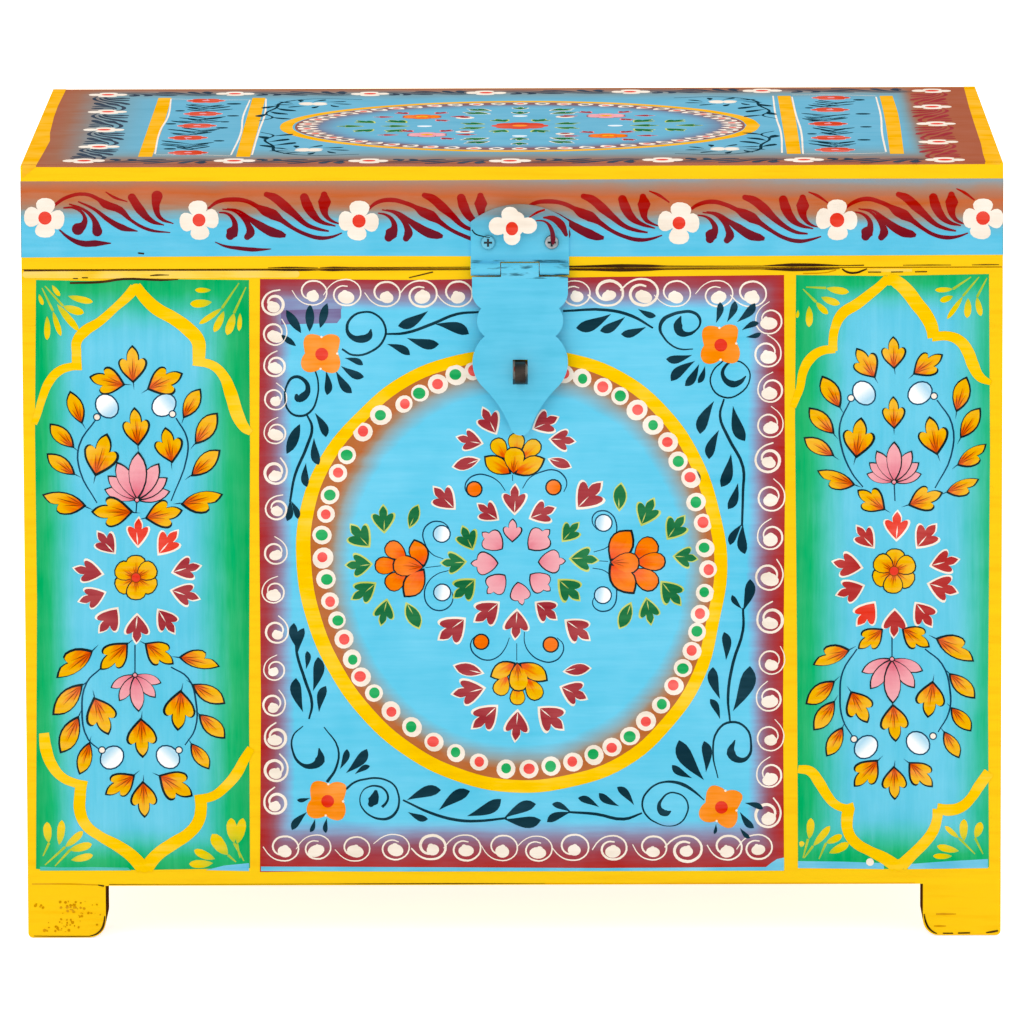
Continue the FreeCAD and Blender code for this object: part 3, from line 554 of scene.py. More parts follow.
TWO_LOBED_LEAF = [(0, 0, 1), (0.2, 0.16), (0.33, 0.4), (0.3, 0.6), (0.14, 0.6, 1), (0.16, 0.8), (0.02, 1, 1),
                  (-0.1, 0.8), (-0.17, 0.5), (-0.12, 0.2)]
LOTUS_PETAL = [(0, 0, 1), (0.14, 0.2), (0.22, 0.55), (0.14, 0.84), (0, 1, 1), (-0.15, 0.84), (-0.22, 0.55),
               (-0.13, 0.2)]
ROUND_PETAL = [(0, 0, 1), (0.16, 0.14), (0.37, 0.5), (0.34, 0.84), (0.02, 1.0), (-0.33, 0.86), (-0.38, 0.5),
               (-0.15, 0.14)]
VEIN = [(0, 0, 1), (0.025, 0.5), (0, 1, 1), (-0.025, 0.5)]
BRUSH_LEAF = [(0, 0, 1), (0.1, 0.2), (0.15, 0.6), (0.1, 0.88), (0.0, 1.0, 1), (-0.09, 0.88), (-0.12, 0.5),
              (-0.07, 0.18)]
BRUSH_LEAF_WIDE = 0.27


def grown(outline, amount):
    """The outline made larger or smaller round its middle, for the rim that shows beyond a motif's fill."""
    return [(x * (1 + amount), 0.5 + (y - 0.5) * (1 + amount), *sharp) for x, y, *sharp in outline]


def motif(outline, inset, rim=0.0):
    """The two films of a motif: its fill, and the rim that shows beyond it."""
    return film_shape(grown(outline, inset), 2), film_shape(grown(outline, rim) if rim else outline, 2)


trefoil = motif(TREFOIL, -0.13)
ivy = motif(IVY, -0.1, 0.05)
spade = motif(SPADE, -0.09)
leaf = motif(POINTED_LEAF, -0.14)
two_lobed = motif(TWO_LOBED_LEAF, -0.12)
petal = motif(LOTUS_PETAL, -0.11)
round_petal = motif(ROUND_PETAL, -0.1)
plain_petal, navy_leaf = round_petal[0], leaf[1]
vein = film_shape(VEIN, 1)
brush_leaf = film_shape(BRUSH_LEAF, 2)


def around(centre, reach, angle):
    """The point that many mm from a centre, at an angle clockwise from straight up."""
    return centre[0] + reach * math.sin(angle), centre[1] + reach * math.cos(angle)


def between(base, tip, share, sway=0.0):
    """A point that share of the way from base to tip, swayed to the side by a share of that length."""
    along = (tip[0] - base[0], tip[1] - base[1])
    return base[0] + along[0] * share + along[1] * sway, base[1] + along[1] * share - along[0] * sway


def outlined(colours, fill, rim, motif_films, base, tip, width=1.0, lift=0.0, lines=None):
    """A motif with its rim under it and, where lines names their colour, three veins from its base.

    Neighbours lie at slightly different heights, so that no two films share a plane where they overlap."""
    fill_film, rim_film = motif_films
    lift += 0.011 * (len(colours[fill]) % 7)
    rim_base, rim_tip = between(base, tip, -0.01, 0.008), between(base, tip, 1.0, 0.008)
    stamp(colours[rim], rim_film, rim_base, rim_tip, width, lift)
    stamp(colours[fill], fill_film, base, tip, width, lift + 0.04)
    if lines:
        foot = between(base, tip, 0.06)
        for share, sway in ((0.66, 0.0), (0.5, 0.12), (0.48, -0.12)):
            stamp(colours[lines], vein, foot, between(base, tip, share, sway), 1.0, lift + 0.08)


# Each pair of petals of a lotus ends that far aside and that far along, as shares of its length.
UPPER_LOTUS = ((0.67, 0.2), (0.61, 0.48), (0.43, 0.77), (0.0, 1.0))
LOWER_LOTUS = ((0.68, 0.28), (0.49, 0.66), (0.0, 1.0))
# Halves of a pearl along and across its turn, above the rosette, and the breadth of its rim, in mm.
PEARL_HALVES, PEARL_RIM = (6.9, 5.8), 0.75
# Turns of the wreath's leaves in degrees; its shift from the rosette and its leaves' two ends, in mm.
WREATH_TURNS = (1, 38, 76, 106, 145, 181, 216, 250, 281, 321)
WREATH_SHIFT = Vector((0.8, -1.7))
WREATH_INNER, WREATH_OUTER = (17.0, 18.2), (32.2, 33.8)
ROSETTE_REACH = 11.8


def paint_panel(colours, panel, place):
    """All the motifs of one arched field, its pixels put on a board by place."""
    for index, line in enumerate(panel["arches"]):
        brush(colours["yellow"], place, line, 0.03 * (index % 2), 5, math.inf)
    for x, y, reach in panel["apexes"]:
        dot(colours["yellow"], place(x, y), reach * PIXEL_WIDE, 0.05)
    for index, (x0, y0, x1, y1, broad) in enumerate(panel["dabs"]):
        width = broad / math.dist((x0, y0), (x1, y1)) / BRUSH_LEAF_WIDE
        width = width if x1 > x0 else -width
        stamp(colours["dab"], brush_leaf, place(x0, y0), place(x1, y1), width, -0.015 * (index % 5))
    for x0, y0, x1, y1 in panel["dab_stems"]:
        brush(colours["olive"], place, ((x0, y0, 1), ((x0 + x1) / 2, (y0 + y1) / 2, 2), (x1, y1, 2.6)))
    for line in panel["stems"]:
        stroke(colours["stem"], [place(*p) for p in line], (0.7, 1.0, 0.6))
    for motif_films, key in ((trefoil, "trefoils"), (leaf, "leaves"), (two_lobed, "two_lobed")):
        for x0, y0, x1, y1 in panel[key]:
            flip = -1.0 if key == "two_lobed" and (x1 < x0) == (y1 < panel["rosette"][1]) else 1.0
            base, tip = place(x0, y0), place(x1, y1)
            width = flip * rng.uniform(0.88, 1.0)
            outlined(colours, "gold", "ink", motif_films, base, tip, width, 0.0, "ink_vein")
            stalk = between(base, tip, -0.18, rng.uniform(-0.05, 0.05))
            stamp(colours["stem"], vein, stalk, between(base, tip, 0.12), 1.8)
    for (x0, y0, x1, y1), petals in zip(panel["lotuses"], (UPPER_LOTUS, LOWER_LOTUS)):
        base, tip = place(x0, y0), place(x1, y1)
        for level, (across, along) in enumerate(petals):
            for sway in ((across, -across) if across else (0.0,)):
                point = between(base, tip, along, sway)
                outlined(colours, "pink", "ink", petal, base, point, 0.86, 0.06 * level)
        dot(colours["ink"], base, 1.4, 0.24)
        dot(colours["pink"], base, 0.9, 0.28)
    for (x, y, turn), (knob_x, knob_y) in panel["buds"]:
        along, across = PEARL_HALVES if y < panel["rosette"][1] else reversed(PEARL_HALVES)
        inner = along - PEARL_RIM
        dot(colours["stem"], place(x, y), along, 0.0, across / along, math.radians(turn))
        dot(colours["bud"], place(x, y), inner, 0.04, (across - PEARL_RIM) / inner, math.radians(turn))
        dot(colours["stem"], place(knob_x, knob_y), 2.0, 0.05)
        dot(colours["white"], place(knob_x, knob_y), 1.4, 0.09)
    middle = place(*panel["rosette"])
    wreath = Vector(middle) + WREATH_SHIFT
    for index, turn in enumerate(WREATH_TURNS):
        away = Vector((math.sin(math.radians(turn)), math.cos(math.radians(turn))))
        base = wreath + away * rng.uniform(*WREATH_INNER)
        tip = wreath + away * rng.uniform(*WREATH_OUTER)
        fill = "red" if index in panel["bright"] else panel["wreath_colour"]
        outlined(colours, fill, "white", ivy, base, tip, rng.uniform(0.86, 1.0))
        end = between(base, tip, 0.5, rng.uniform(-0.05, 0.05))
        stamp(colours["white"], vein, between(base, tip, 0.05), end, 2.0, 0.08)
    for index in range(6):
        tip = around(middle, ROSETTE_REACH, math.radians(index * 60 + panel["spin"]))
        outlined(colours, "gold", "ink", round_petal, middle, tip, 1.12, 0.06 * (index % 2), "ink_vein")
    dot(colours["ink_vein"], middle, 2.7, 0.2)
    dot(colours["red"], middle, 2.2, 0.28)


LEFT_PANEL = {
    "field": LEFT_FIELD, "middle": 143, "rosette": (136, 577.5), "bright": (0, 1), "wreath_colour": "maroon",
    "spin": 0,
    "apexes": ((136, 288.5, 5), (144.5, 866, 6.5)),
    "arches": (
        ((34, 424, 6), (37, 416, 7), (42, 399, 8), (49, 382, 9), (59, 371, 9), (72, 366.5, 8),
         (81.5, 366, 8.5)),
        ((77, 370, 10), (76.5, 353, 9.5), (77, 341, 10), (85, 331, 11), (99, 322, 9), (116, 307, 8),
         (126, 298, 9.5), (135, 288, 11)),
        ((136, 286, 10), (145, 298, 12), (157, 309, 13), (173, 318, 13), (188, 329, 14), (198, 341, 14),
         (199, 353, 13), (198.5, 362, 12)),
        ((193, 361.5, 8), (212, 365, 9), (223, 375, 10), (231, 394, 13), (238, 416, 13), (245, 428, 10),
         (251, 433, 6)),
        ((44, 733, 10), (46, 749, 12), (52, 765, 11), (62, 777, 9.5), (75, 783, 9), (87, 785.5, 9)),
        ((81.5, 781.5, 11), (80, 796, 12), (80, 811, 12), (86, 825, 11), (100, 836, 10), (118, 846, 12),
         (132, 856, 13), (143, 868, 14)),
        ((146, 868, 14), (157, 855, 13), (174, 843, 13), (188, 834, 12), (198, 822, 12), (201, 809, 12),
         (200.5, 797, 12)),
        ((195, 799.5, 9), (213, 796, 9.5), (226, 786, 10), (237, 773, 11), (244, 760, 10), (251, 748, 8))),
    "dabs": ((39, 294, 43, 305, 4), (47, 316, 47, 340, 6), (53, 311, 61, 336, 5.5), (57, 304, 79, 331, 7),
             (63, 306, 84, 313, 8), (68, 296, 93, 302, 6.5), (52, 285, 60, 296, 4.5),
             (211, 290, 195, 290, 5), (212, 302, 190, 304, 8), (222, 308, 199, 324, 5.5),
             (224, 311, 214, 332, 7), (234, 313, 227, 335, 8), (240, 313, 239, 331, 4.5),
             (49, 843, 47, 822, 8), (59, 845, 62, 820, 7.5), (65, 847, 83, 831, 7), (69, 850, 92, 844, 8),
             (71, 860, 93, 855, 7), (234, 843, 231, 818, 10), (237, 844, 243, 818, 9),
             (228, 855, 212, 834, 12), (215, 859, 194, 850, 8), (213, 863, 189, 864, 8)),
    "dab_stems": ((42, 288, 53, 311), (45, 286, 63, 306), (239, 283, 222, 308), (246, 287, 234, 313),
                  (43, 856, 49, 843), (45, 865, 65, 847), (55, 866, 70, 850), (244, 861, 234, 843),
                  (240, 858, 237, 844), (236, 862, 228, 855)),
    "trefoils": ((133, 383, 132, 345), (125, 385, 89, 377), (147, 389, 183, 373), (138, 446, 134, 407),
                 (95, 476, 107, 433), (172, 463, 165, 427), (133, 512, 91, 512), (145, 518, 183, 510),
                 (128, 643, 100, 670), (145, 643, 174, 664), (94, 697, 109, 735), (181, 690, 178, 731),
                 (141, 718, 143, 758), (135, 775, 105, 795), (143, 781, 145, 818), (159, 775, 193, 796)),
    "leaves": ((82, 424, 69, 391), (74, 448, 49, 424), (75, 475, 46, 454), (183, 418, 200, 388),
               (195, 444, 217, 412), (191, 476, 220, 449), (83, 684, 53, 716), (79, 716, 61, 754),
               (90, 742, 80, 775), (192, 684, 226, 703), (199, 714, 226, 738), (191, 743, 210, 769)),
    "two_lobed": ((86, 506, 42, 494), (181, 504, 223, 493), (93, 651, 57, 679), (179, 657, 220, 667)),
    "lotuses": ((137, 500, 138, 451), (135, 675, 139, 712)),
    "buds": (((107, 406, 217), (97, 417)), ((164, 405, -53), (172.5, 414)), ((112, 757.5, 45), (102, 750)),
             ((168, 757, -45), (179, 750))),
    "stems": (
        ((97, 418), (79, 446), (80, 471), (97, 503)), ((176, 418), (187, 438), (187, 457), (171, 501)),
        ((137, 500), (136, 513)), ((135, 645), (135, 675)),
        ((100, 669), (87, 682), (82, 711), (88, 739), (100, 750)),
        ((171, 667), (188, 678), (196, 702), (195, 729), (185, 745))),
}
RIGHT_PANEL = {
    "field": RIGHT_FIELD, "middle": 893, "rosette": (894, 571), "bright": (0, 6), "wreath_colour": "brick",
    "spin": 4,
    "apexes": ((889, 280.5, 5), (898.5, 865, 6)),
    "arches": (
        ((793, 407, 6), (796, 399, 7), (800, 388, 8), (803, 372, 9), (810, 359, 10), (821, 351, 9),
         (835, 349, 8)),
        ((833, 351, 9), (833, 340, 9), (835, 328, 9), (842, 314, 11), (857, 304, 11), (870, 294, 10),
         (881, 285, 9), (888, 278, 9)),
        ((888, 278, 9), (897, 282, 13), (908, 292, 14), (917, 304, 14), (925, 314, 14), (932, 328, 13),
         (933, 338, 11)),
        ((932, 337, 9), (948, 336, 9.5), (960, 341, 11), (968, 352, 12), (973, 365, 12), (980, 377, 9.5),
         (991, 383, 5)),
        ((798, 769, 8), (810, 771, 10), (819, 782, 11), (827, 795, 10), (835, 804, 9), (846, 808, 8),
         (854, 806, 8)),
        ((849, 807, 12), (847, 819, 12), (848, 831, 11), (855, 842, 11), (870, 851, 10), (884, 858, 12),
         (896, 866, 13)),
        ((901, 866, 13), (913, 854, 11), (925, 842, 11), (933, 831, 11), (937, 819, 10), (938, 809, 11)),
        ((937, 808, 10), (948, 810, 12), (961, 807, 11), (971, 798, 10), (979, 786, 11), (989, 772, 11))),
    "dabs": ((826, 288, 849, 292, 7), (821, 297, 840, 304, 7), (816, 302, 828, 314, 6),
             (809, 306, 809, 327, 7), (798, 310, 797, 318, 3), (953, 289, 935, 290, 5),
             (953, 296, 940, 301, 6), (963, 296, 947, 319, 5), (968, 298, 967, 318, 7),
             (977, 297, 981, 316, 6), (809, 839, 811, 818, 7.5), (813, 846, 830, 826, 7),
             (826, 843, 842, 835, 7), (829, 853, 849, 843, 8), (801, 847, 802, 841, 5),
             (964, 841, 964, 819, 8), (959, 838, 945, 826, 5), (975, 838, 981, 822, 8),
             (959, 851, 937, 846, 7), (952, 856, 933, 856, 5.5)),
    "dab_stems": ((971, 277, 953, 289), (979, 277, 963, 296), (987, 278, 977, 297), (804, 858, 813, 846),
                  (819, 859, 826, 843), (975, 854, 959, 838), (983, 854, 975, 838), (803, 289, 816, 302),
                  (806, 287, 826, 288), (803, 858, 808, 839)),
    "trefoils": ((894, 369, 893, 336), (875, 378, 856, 348), (913, 374, 943, 354), (894, 429, 893, 396),
                 (856, 458, 861, 417), (937, 455, 929, 416), (885, 510, 857, 490), (908, 505, 943, 492),
                 (883, 629, 858, 649), (902, 628, 930, 647), (851, 691, 868, 723), (933, 681, 928, 718),
                 (893, 704, 896, 742), (878, 760, 854, 787), (894, 766, 895, 800), (909, 762, 933, 787)),
    "leaves": ((840, 408, 821, 376), (834, 434, 808, 408), (834, 456, 803, 438), (956, 412, 966, 376),
               (960, 438, 980, 407), (835, 681, 806, 705), (835, 701, 814, 731), (843, 727, 827, 757),
               (949, 673, 976, 698), (951, 707, 972, 731), (944, 731, 960, 758)),
    "two_lobed": ((957, 465, 986, 443), (855, 485, 817, 470), (946, 492, 979, 478), (850, 650, 813, 666),
                  (936, 638, 974, 662)),
    "lotuses": ((894, 482, 894, 441), (892, 659, 893, 704)),
    "buds": (((864, 393, 217), (851, 398)), ((920, 393, -53), (934, 396)), ((866, 747, 45), (854, 739)),
             ((918, 743, -45), (933, 736))),
    "stems": (
        ((850, 401), (840, 424), (841, 445), (852, 473), (863, 487)),
        ((937, 400), (952, 424), (951, 456), (935, 488)),
        ((894, 480), (895, 501)), ((892, 630), (892, 660)),
        ((857, 649), (843, 671), (840, 694), (843, 720), (853, 737)),
        ((925, 649), (942, 664), (950, 690), (949, 712), (938, 732))),
}

rng = random.Random(5)
front_colours = defaultdict(list)
paint_panel(front_colours, LEFT_PANEL, spot)
paint_panel(front_colours, RIGHT_PANEL, spot)


# Centre field of the front: a maroon border of white scrolls, a flower with navy scrolls in each corner, and
# the medallion, a yellow ring set with white dots round a cross of four lotus sprays. All of it is brush
# work.
SCROLL_ROWS = (
    (293, (313, 346, 386, 422, 458, 576, 609, 643, 676, 718, 752)),
    (848, (284.5, 317, 356, 395, 432, 466, 503, 538, 574, 613, 653, 687, 728, 758)))
SCROLL_COLUMNS = (
    (275, 5.5, (304, 334, 366, 399, 433, 473, 509, 553, 592, 632, 670, 705, 738, 770, 803)),
    (769.5, 6.4, (321, 354, 390, 425, 460, 498, 537, 577, 620, 662, 699, 738, 775, 815)))
# A scroll's turns in degrees, from its tail in, with how far out it lies there; the rows' breadth for height.
SCROLL_TURNS = ((0, 1.5), (38, 1.16), (80, 1.02), (130, 1.0), (180, 0.98), (230, 0.98), (280, 0.96),
                (325, 0.9), (370, 0.78), (420, 0.62), (470, 0.5))
SCROLL_WIDTHS = (0.7, 1.0, 1.2, 1.5, 1.4, 0.9)
ROW_BREADTH = 1.14


def scroll(marks, centre, radius, start, flip, broad=1.0, draw=rng):
    """A white scroll of the border: a tail that runs into one turn of the brush and winds in to a blob."""
    points = []
    for turn, reach in SCROLL_TURNS:
        angle = math.radians(start + flip * turn)
        across = centre[0] + radius * broad * reach * math.cos(angle)
        points.append((across, centre[1] + radius * reach * math.sin(angle)))
    heavy = draw.choice((0.6, 0.7, 0.8, 1.05))
    stroke(marks, points, [heavy * w for w in SCROLL_WIDTHS], 3, 0.012 if flip > 0 else 0.0)
    blob = radius * draw.uniform(0.4, 0.52)
    middle = (centre[0] + draw.uniform(-0.5, 0.5), centre[1] - radius * draw.uniform(0.16, 0.36))
    dot(marks, middle, blob, -0.03, draw.uniform(1.1, 1.45), draw.uniform(-0.35, 0.35))
    second = (middle[0] + blob * draw.uniform(-0.5, 0.5), middle[1] + blob * 0.6)
    dot(marks, second, blob * 0.55, -0.045, draw.uniform(0.7, 1.2))


for row, places in SCROLL_ROWS:
    for index, across in enumerate(places):
        scroll(front_colours["white"], spot(across, row + rng.uniform(-1, 1)), rng.uniform(6.2, 6.8),
               rng.uniform(168, 190), 1 if index % 2 == 0 else -1, ROW_BREADTH)
for column, reach, places in SCROLL_COLUMNS:
    for index, down in enumerate(places):
        scroll(front_colours["white"], spot(column + rng.uniform(-2, 2), down),
               reach * rng.uniform(0.97, 1.06), rng.uniform(60, 95), 1 if index % 2 == 0 else -1)
# Two more lie behind the hasp when it is shut.
hidden = random.Random(11)
for across, flip in ((497, -1), (537, 1)):
    scroll(front_colours["white"], spot(across, 293), 6.5, hidden.uniform(168, 190), flip, ROW_BREADTH,
           hidden)

NAVY_STEMS = (
    ((386, 334), (405, 333), (432, 324), (457, 314), (479, 312)),
    ((307, 415), (312, 427), (307, 446), (295, 475), (290, 502)),
    ((309, 719), (312, 704), (305, 680), (297, 654), (296, 645)),
    ((403, 800), (431, 813), (457, 820), (476, 821), (507, 818)),
    ((642, 813), (624, 819), (596, 814), (568, 812)),
    ((730, 721), (728, 697), (733, 663), (743, 630), (743, 608)),
    ((653, 328), (632, 316), (607, 310), (563, 311)),
    ((724, 399), (720, 416), (728, 437), (743, 467), (743, 491), (742, 526)))
NAVY_SPIRALS = (
    ((342, 349, 2), (353, 355, 2), (372, 351, 2.2), (384, 339, 2.2), (385, 326, 2.2), (375, 314, 2),
     (364, 312, 2), (352, 317, 2.4), (347, 329, 3), (352, 337, 5), (362, 339, 8), (369, 336, 7),
     (371, 329, 1)),
    ((315, 370, 1.6), (318, 381, 1.6), (317, 398, 1.8), (310, 412, 2.2), (299, 416, 2.4), (289, 411, 2),
     (285, 398, 2), (287, 385, 2), (294, 377, 3), (304, 380, 3.6), (308, 389, 5), (304, 396, 8),
     (298, 398, 8), (296, 394, 2)),
    ((327, 782, 3), (336, 768, 2.4), (338, 748, 1.8), (324, 727, 1)),
    ((303, 726, 1), (293, 736, 1.6), (293, 752, 2), (301, 764, 3), (312, 766, 6), (320, 760, 10),
     (319, 748, 1)),
    ((346, 789, 2.4), (355, 782, 2), (366, 779, 2), (376, 778, 2), (386, 780, 1.8), (394, 785, 1.8),
     (398, 793, 1.8), (399, 803, 2), (396, 812, 2.6), (389, 818, 3), (381, 819, 2.4), (371, 816, 1.8),
     (363, 809, 1.6), (360, 802, 1.2), (362, 792, 1), (368, 787, 1.6), (377, 786, 2), (384, 789, 2),
     (388, 797, 2.2), (386, 803, 2.4), (382, 807, 3)),
    ((376, 790, 2.5), (375, 796, 8), (373, 801, 11), (371, 804, 6)),
    ((704, 800, 1), (695, 792, 2.4), (684, 785, 3.6), (674, 782, 2.8), (664, 782, 2), (655, 785, 1.8),
     (647, 792, 2), (643, 799, 2), (643, 809, 1.8), (649, 818, 1.8), (655, 822, 1.4), (667, 826, 0.8),
     (680, 823, 1.4), (687, 813, 1.6), (688, 805, 1.6), (684, 797, 1.6), (676, 793, 1.6), (669, 793, 1.6),
     (662, 799, 2), (659, 806, 4), (662, 812, 7), (667, 813, 6), (671, 811, 1)),
    ((718, 778, 1), (713, 753, 1.8), (718, 730, 2.2), (731, 722, 2.4), (746, 728, 2.2), (751, 743, 2),
     (748, 757, 3), (739, 760, 6), (731, 753, 9), (735, 740, 1)),
    ((693, 349, 1), (680, 349, 1.6), (670, 344, 1.8), (663, 336, 2), (660, 329, 3), (663, 320, 4),
     (671, 315, 3.4), (682, 312, 3), (692, 312, 3), (699, 317, 3), (700, 324, 2), (696, 330, 1.8),
     (688, 334, 4), (680, 332, 8), (678, 325, 9), (681, 316, 1)),
    ((723, 361, 1.4), (713, 371, 1.4), (711, 385, 1.6), (723, 397, 1.8), (739, 394, 1.6), (750, 378, 1.4),
     (746, 366, 1.4), (734, 361, 1.6), (724, 368, 3), (723, 376, 4), (732, 384, 7), (740, 382, 5),
     (746, 376, 1)))
NAVY_LEAVES = ((301, 333, 286, 310), (309.5, 331.5, 310, 304), (320, 328, 327, 303), (296, 346, 281, 335),
               (300, 424, 287, 454))
NAVY_COMMAS = ((345, 358, 363, 365), (341, 366, 364, 377), (336, 371, 352, 393), (326, 371, 327, 395),
               (428, 311, 398, 326), (435, 324, 469, 334), (407, 338, 439, 344), (387, 344, 410, 355),
               (315, 413, 326, 437), (314, 438, 319, 465), (306, 463, 307, 487), (290, 499, 287, 521),
               (291, 501, 298, 519), (313, 691, 318, 657), (303, 712, 296, 678), (319, 712, 326, 686),
               (306, 669, 307, 651), (298, 650, 294, 623), (298, 652, 304, 628), (340, 769, 347, 749),
               (346, 773, 367, 749), (355, 774, 370, 766), (407, 800, 441, 790), (439, 810, 470, 791),
               (467, 816, 501, 799), (504, 818, 536, 804), (408, 812, 428, 819), (504, 819, 541, 820),
               (310, 798, 297, 800), (307, 812, 292, 830), (315, 819, 310, 832), (327, 818, 326, 833),
               (599, 807, 578, 798), (619, 806, 599, 793), (634, 805, 617, 787), (692, 778, 672, 765),
               (704, 780, 679, 740), (706, 772, 704, 741), (745, 803, 763, 809), (740, 812, 754, 828),
               (740, 828, 750, 838), (716, 824, 714, 834), (720, 699, 713, 667), (720, 719, 710, 699),
               (733, 711, 750, 666), (726, 660, 724, 632), (743, 611, 750, 579), (742, 609, 732, 595),
               (571, 812, 552, 804), (571, 812, 547, 822), (611, 314, 576, 328), (625, 317, 600, 331),
               (646, 327, 621, 334), (638, 309, 656, 316), (716, 323, 720, 302), (727, 322, 735, 301),
               (737, 322, 755, 303), (742, 330, 759, 323), (746, 337, 761, 333), (692, 355, 666, 359),
               (695, 361, 671, 381), (699, 364, 685, 386), (705, 366, 698, 383), (714, 401, 700, 434),
               (733, 406, 745, 441), (719, 430, 709, 459), (731, 454, 721, 487), (738, 483, 728, 509),
               (742, 524, 730, 545), (743, 524, 745, 554))
COMMA_BREADTH = 1.16
comma = film_shape([(0, 0, 1), (0.08, 0.2), (0.17, 0.46), (0.2, 0.7), (0.13, 0.89), (0.0, 1.0, 1),
                    (-0.07, 0.82), (-0.06, 0.54), (-0.02, 0.25)], 2)
for line in NAVY_STEMS:
    stroke(front_colours["navy"], [spot(*p) for p in line], (0.9, 1.6, 1.5, 1.1))
for line in NAVY_SPIRALS:
    brush(front_colours["navy"], spot, line)
for x0, y0, x1, y1 in NAVY_LEAVES:
    stamp(front_colours["navy"], navy_leaf, spot(x0, y0), spot(x1, y1), 0.66, -0.05)
for index, (x0, y0, x1, y1) in enumerate(NAVY_COMMAS):
    stamp(front_colours["navy"], comma, spot(x0, y0), spot(x1, y1),
          rng.choice((COMMA_BREADTH, -COMMA_BREADTH)), -0.012 * (index % 4))

square_flower = film_shape([
    (0.0, -0.42, 1), (0.16, -0.5), (0.4, -0.5), (0.5, -0.36), (0.5, -0.14), (0.43, 0.02, 1), (0.47, 0.2),
    (0.47, 0.42), (0.34, 0.5), (0.14, 0.49), (0.02, 0.42, 1), (-0.12, 0.48), (-0.38, 0.46), (-0.46, 0.32),
    (-0.45, 0.12), (-0.42, -0.02, 1), (-0.5, -0.16), (-0.5, -0.38), (-0.38, -0.5), (-0.16, -0.5)], 3)
SQUARE_FLOWER_WIDE = 19.4
for x, y, turn in ((321, 353, 2), (720, 344, -2), (327, 800, 5), (721, 806, 16)):
    middle = spot(x, y)
    upward = around(middle, SQUARE_FLOWER_WIDE, math.radians(turn))
    stamp(front_colours["orange"], square_flower, middle, upward, 1.0)
    for away, side in ((0.43, 0.0), (0.0, 0.43), (-0.42, 0.0)):
        dot(front_colours["white"], between(middle, upward, away, side), 0.6, 0.02)
    dot(front_colours["red"], between(middle, upward, -0.03, 0.02), 3.3, 0.08)

RING_DOTS = ((473, 371), (456, 375), (438, 384), (420, 393), (404, 404), (381, 415), (363, 432), (347, 455),
             (338, 473), (330, 495), (326, 514), (322, 535), (323, 558), (326, 579), (330, 601), (337, 620),
             (344, 639), (352, 659), (361, 677), (374, 693), (391, 711), (412, 727), (434, 742), (456, 753),
             (479, 762), (506, 769), (529, 769), (551, 766), (573, 762), (594, 755), (612, 747), (630, 736),
             (646, 721), (661, 705), (674, 686), (683, 668), (692, 651), (697, 632), (700, 614), (705, 593),
             (708, 569), (705, 548), (703, 523), (696, 502), (691, 478), (678, 461), (668, 442), (653, 425),
             (637, 410), (620, 396), (603, 387), (582, 378), (564, 374), (541, 371), (518, 370), (495, 370))
RING_WIDTHS = (6.0, 6.2, 7.6, 7.2, 6.6, 6.4, 6.6, 6.8, 6.2)
stroke(front_colours["yellow"], [spot(*p) for p in RING + RING[:1]], RING_WIDTHS, 6)
for index, place in enumerate(RING_DOTS):
    centre = spot(*place)
    dot(front_colours["white"], centre, rng.uniform(4.5, 5.2), 0.013 * (index % 3), rng.uniform(0.92, 1.1),
        rng.uniform(0, 3))
    heart = (centre[0] + rng.uniform(-0.5, 0.5), centre[1] + rng.uniform(-0.5, 0.5))
    fill = "green_dot" if index % 2 else "light_red"
    dot(front_colours[fill], heart, rng.uniform(2.6, 3.0), 0.06, rng.uniform(0.9, 1.1))
dot(front_colours["white"], spot(870, 862), 2.0)
# Patches of other paint: sky blue and teal along the foot of the fields, lilac in a corner of the border.
PATCHES = {
    "sky": (
        ((206, 870), (224, 865.5), (249, 863), (249, 871)),
        ((261, 866.5), (350, 866.8), (470, 867.4), (600, 868), (700, 867.4), (766, 867), (771, 863),
         (777, 859), (784, 857.5), (784, 870.5), (600, 871), (400, 871.4), (261, 871)),
        ((798, 861), (840, 861.5), (884, 863), (884, 869), (798, 868)),
        ((908, 864), (950, 861), (988, 859), (988, 868), (908, 869))),
    "teal": (((40, 866.6), (60, 867.4), (90, 867), (128, 867.6), (131, 870.4), (40, 870.6)),),
    "lilac": (((281, 310.5), (310, 309.5), (341, 308.5), (341, 318), (337, 323), (281, 324.5)),),
    "pale_lilac": (((281, 299), (326, 300.5), (341, 300), (342, 309), (281, 311)),)}
for colour, patches in PATCHES.items():
    for patch in patches:
        front_colours[colour].append(straight([spot(*p) for p in patch]))


# The cross was read from the photograph enlarged that many times, from that pixel on.
CROSS_LARGER = 4.356
CROSS_ACROSS, CROSS_DOWN = 340, 400


def cross_spot(across, down):
    """The place on the front of a pixel of the enlarged medallion's cross."""
    return spot(CROSS_ACROSS + across / CROSS_LARGER, CROSS_DOWN + down / CROSS_LARGER)


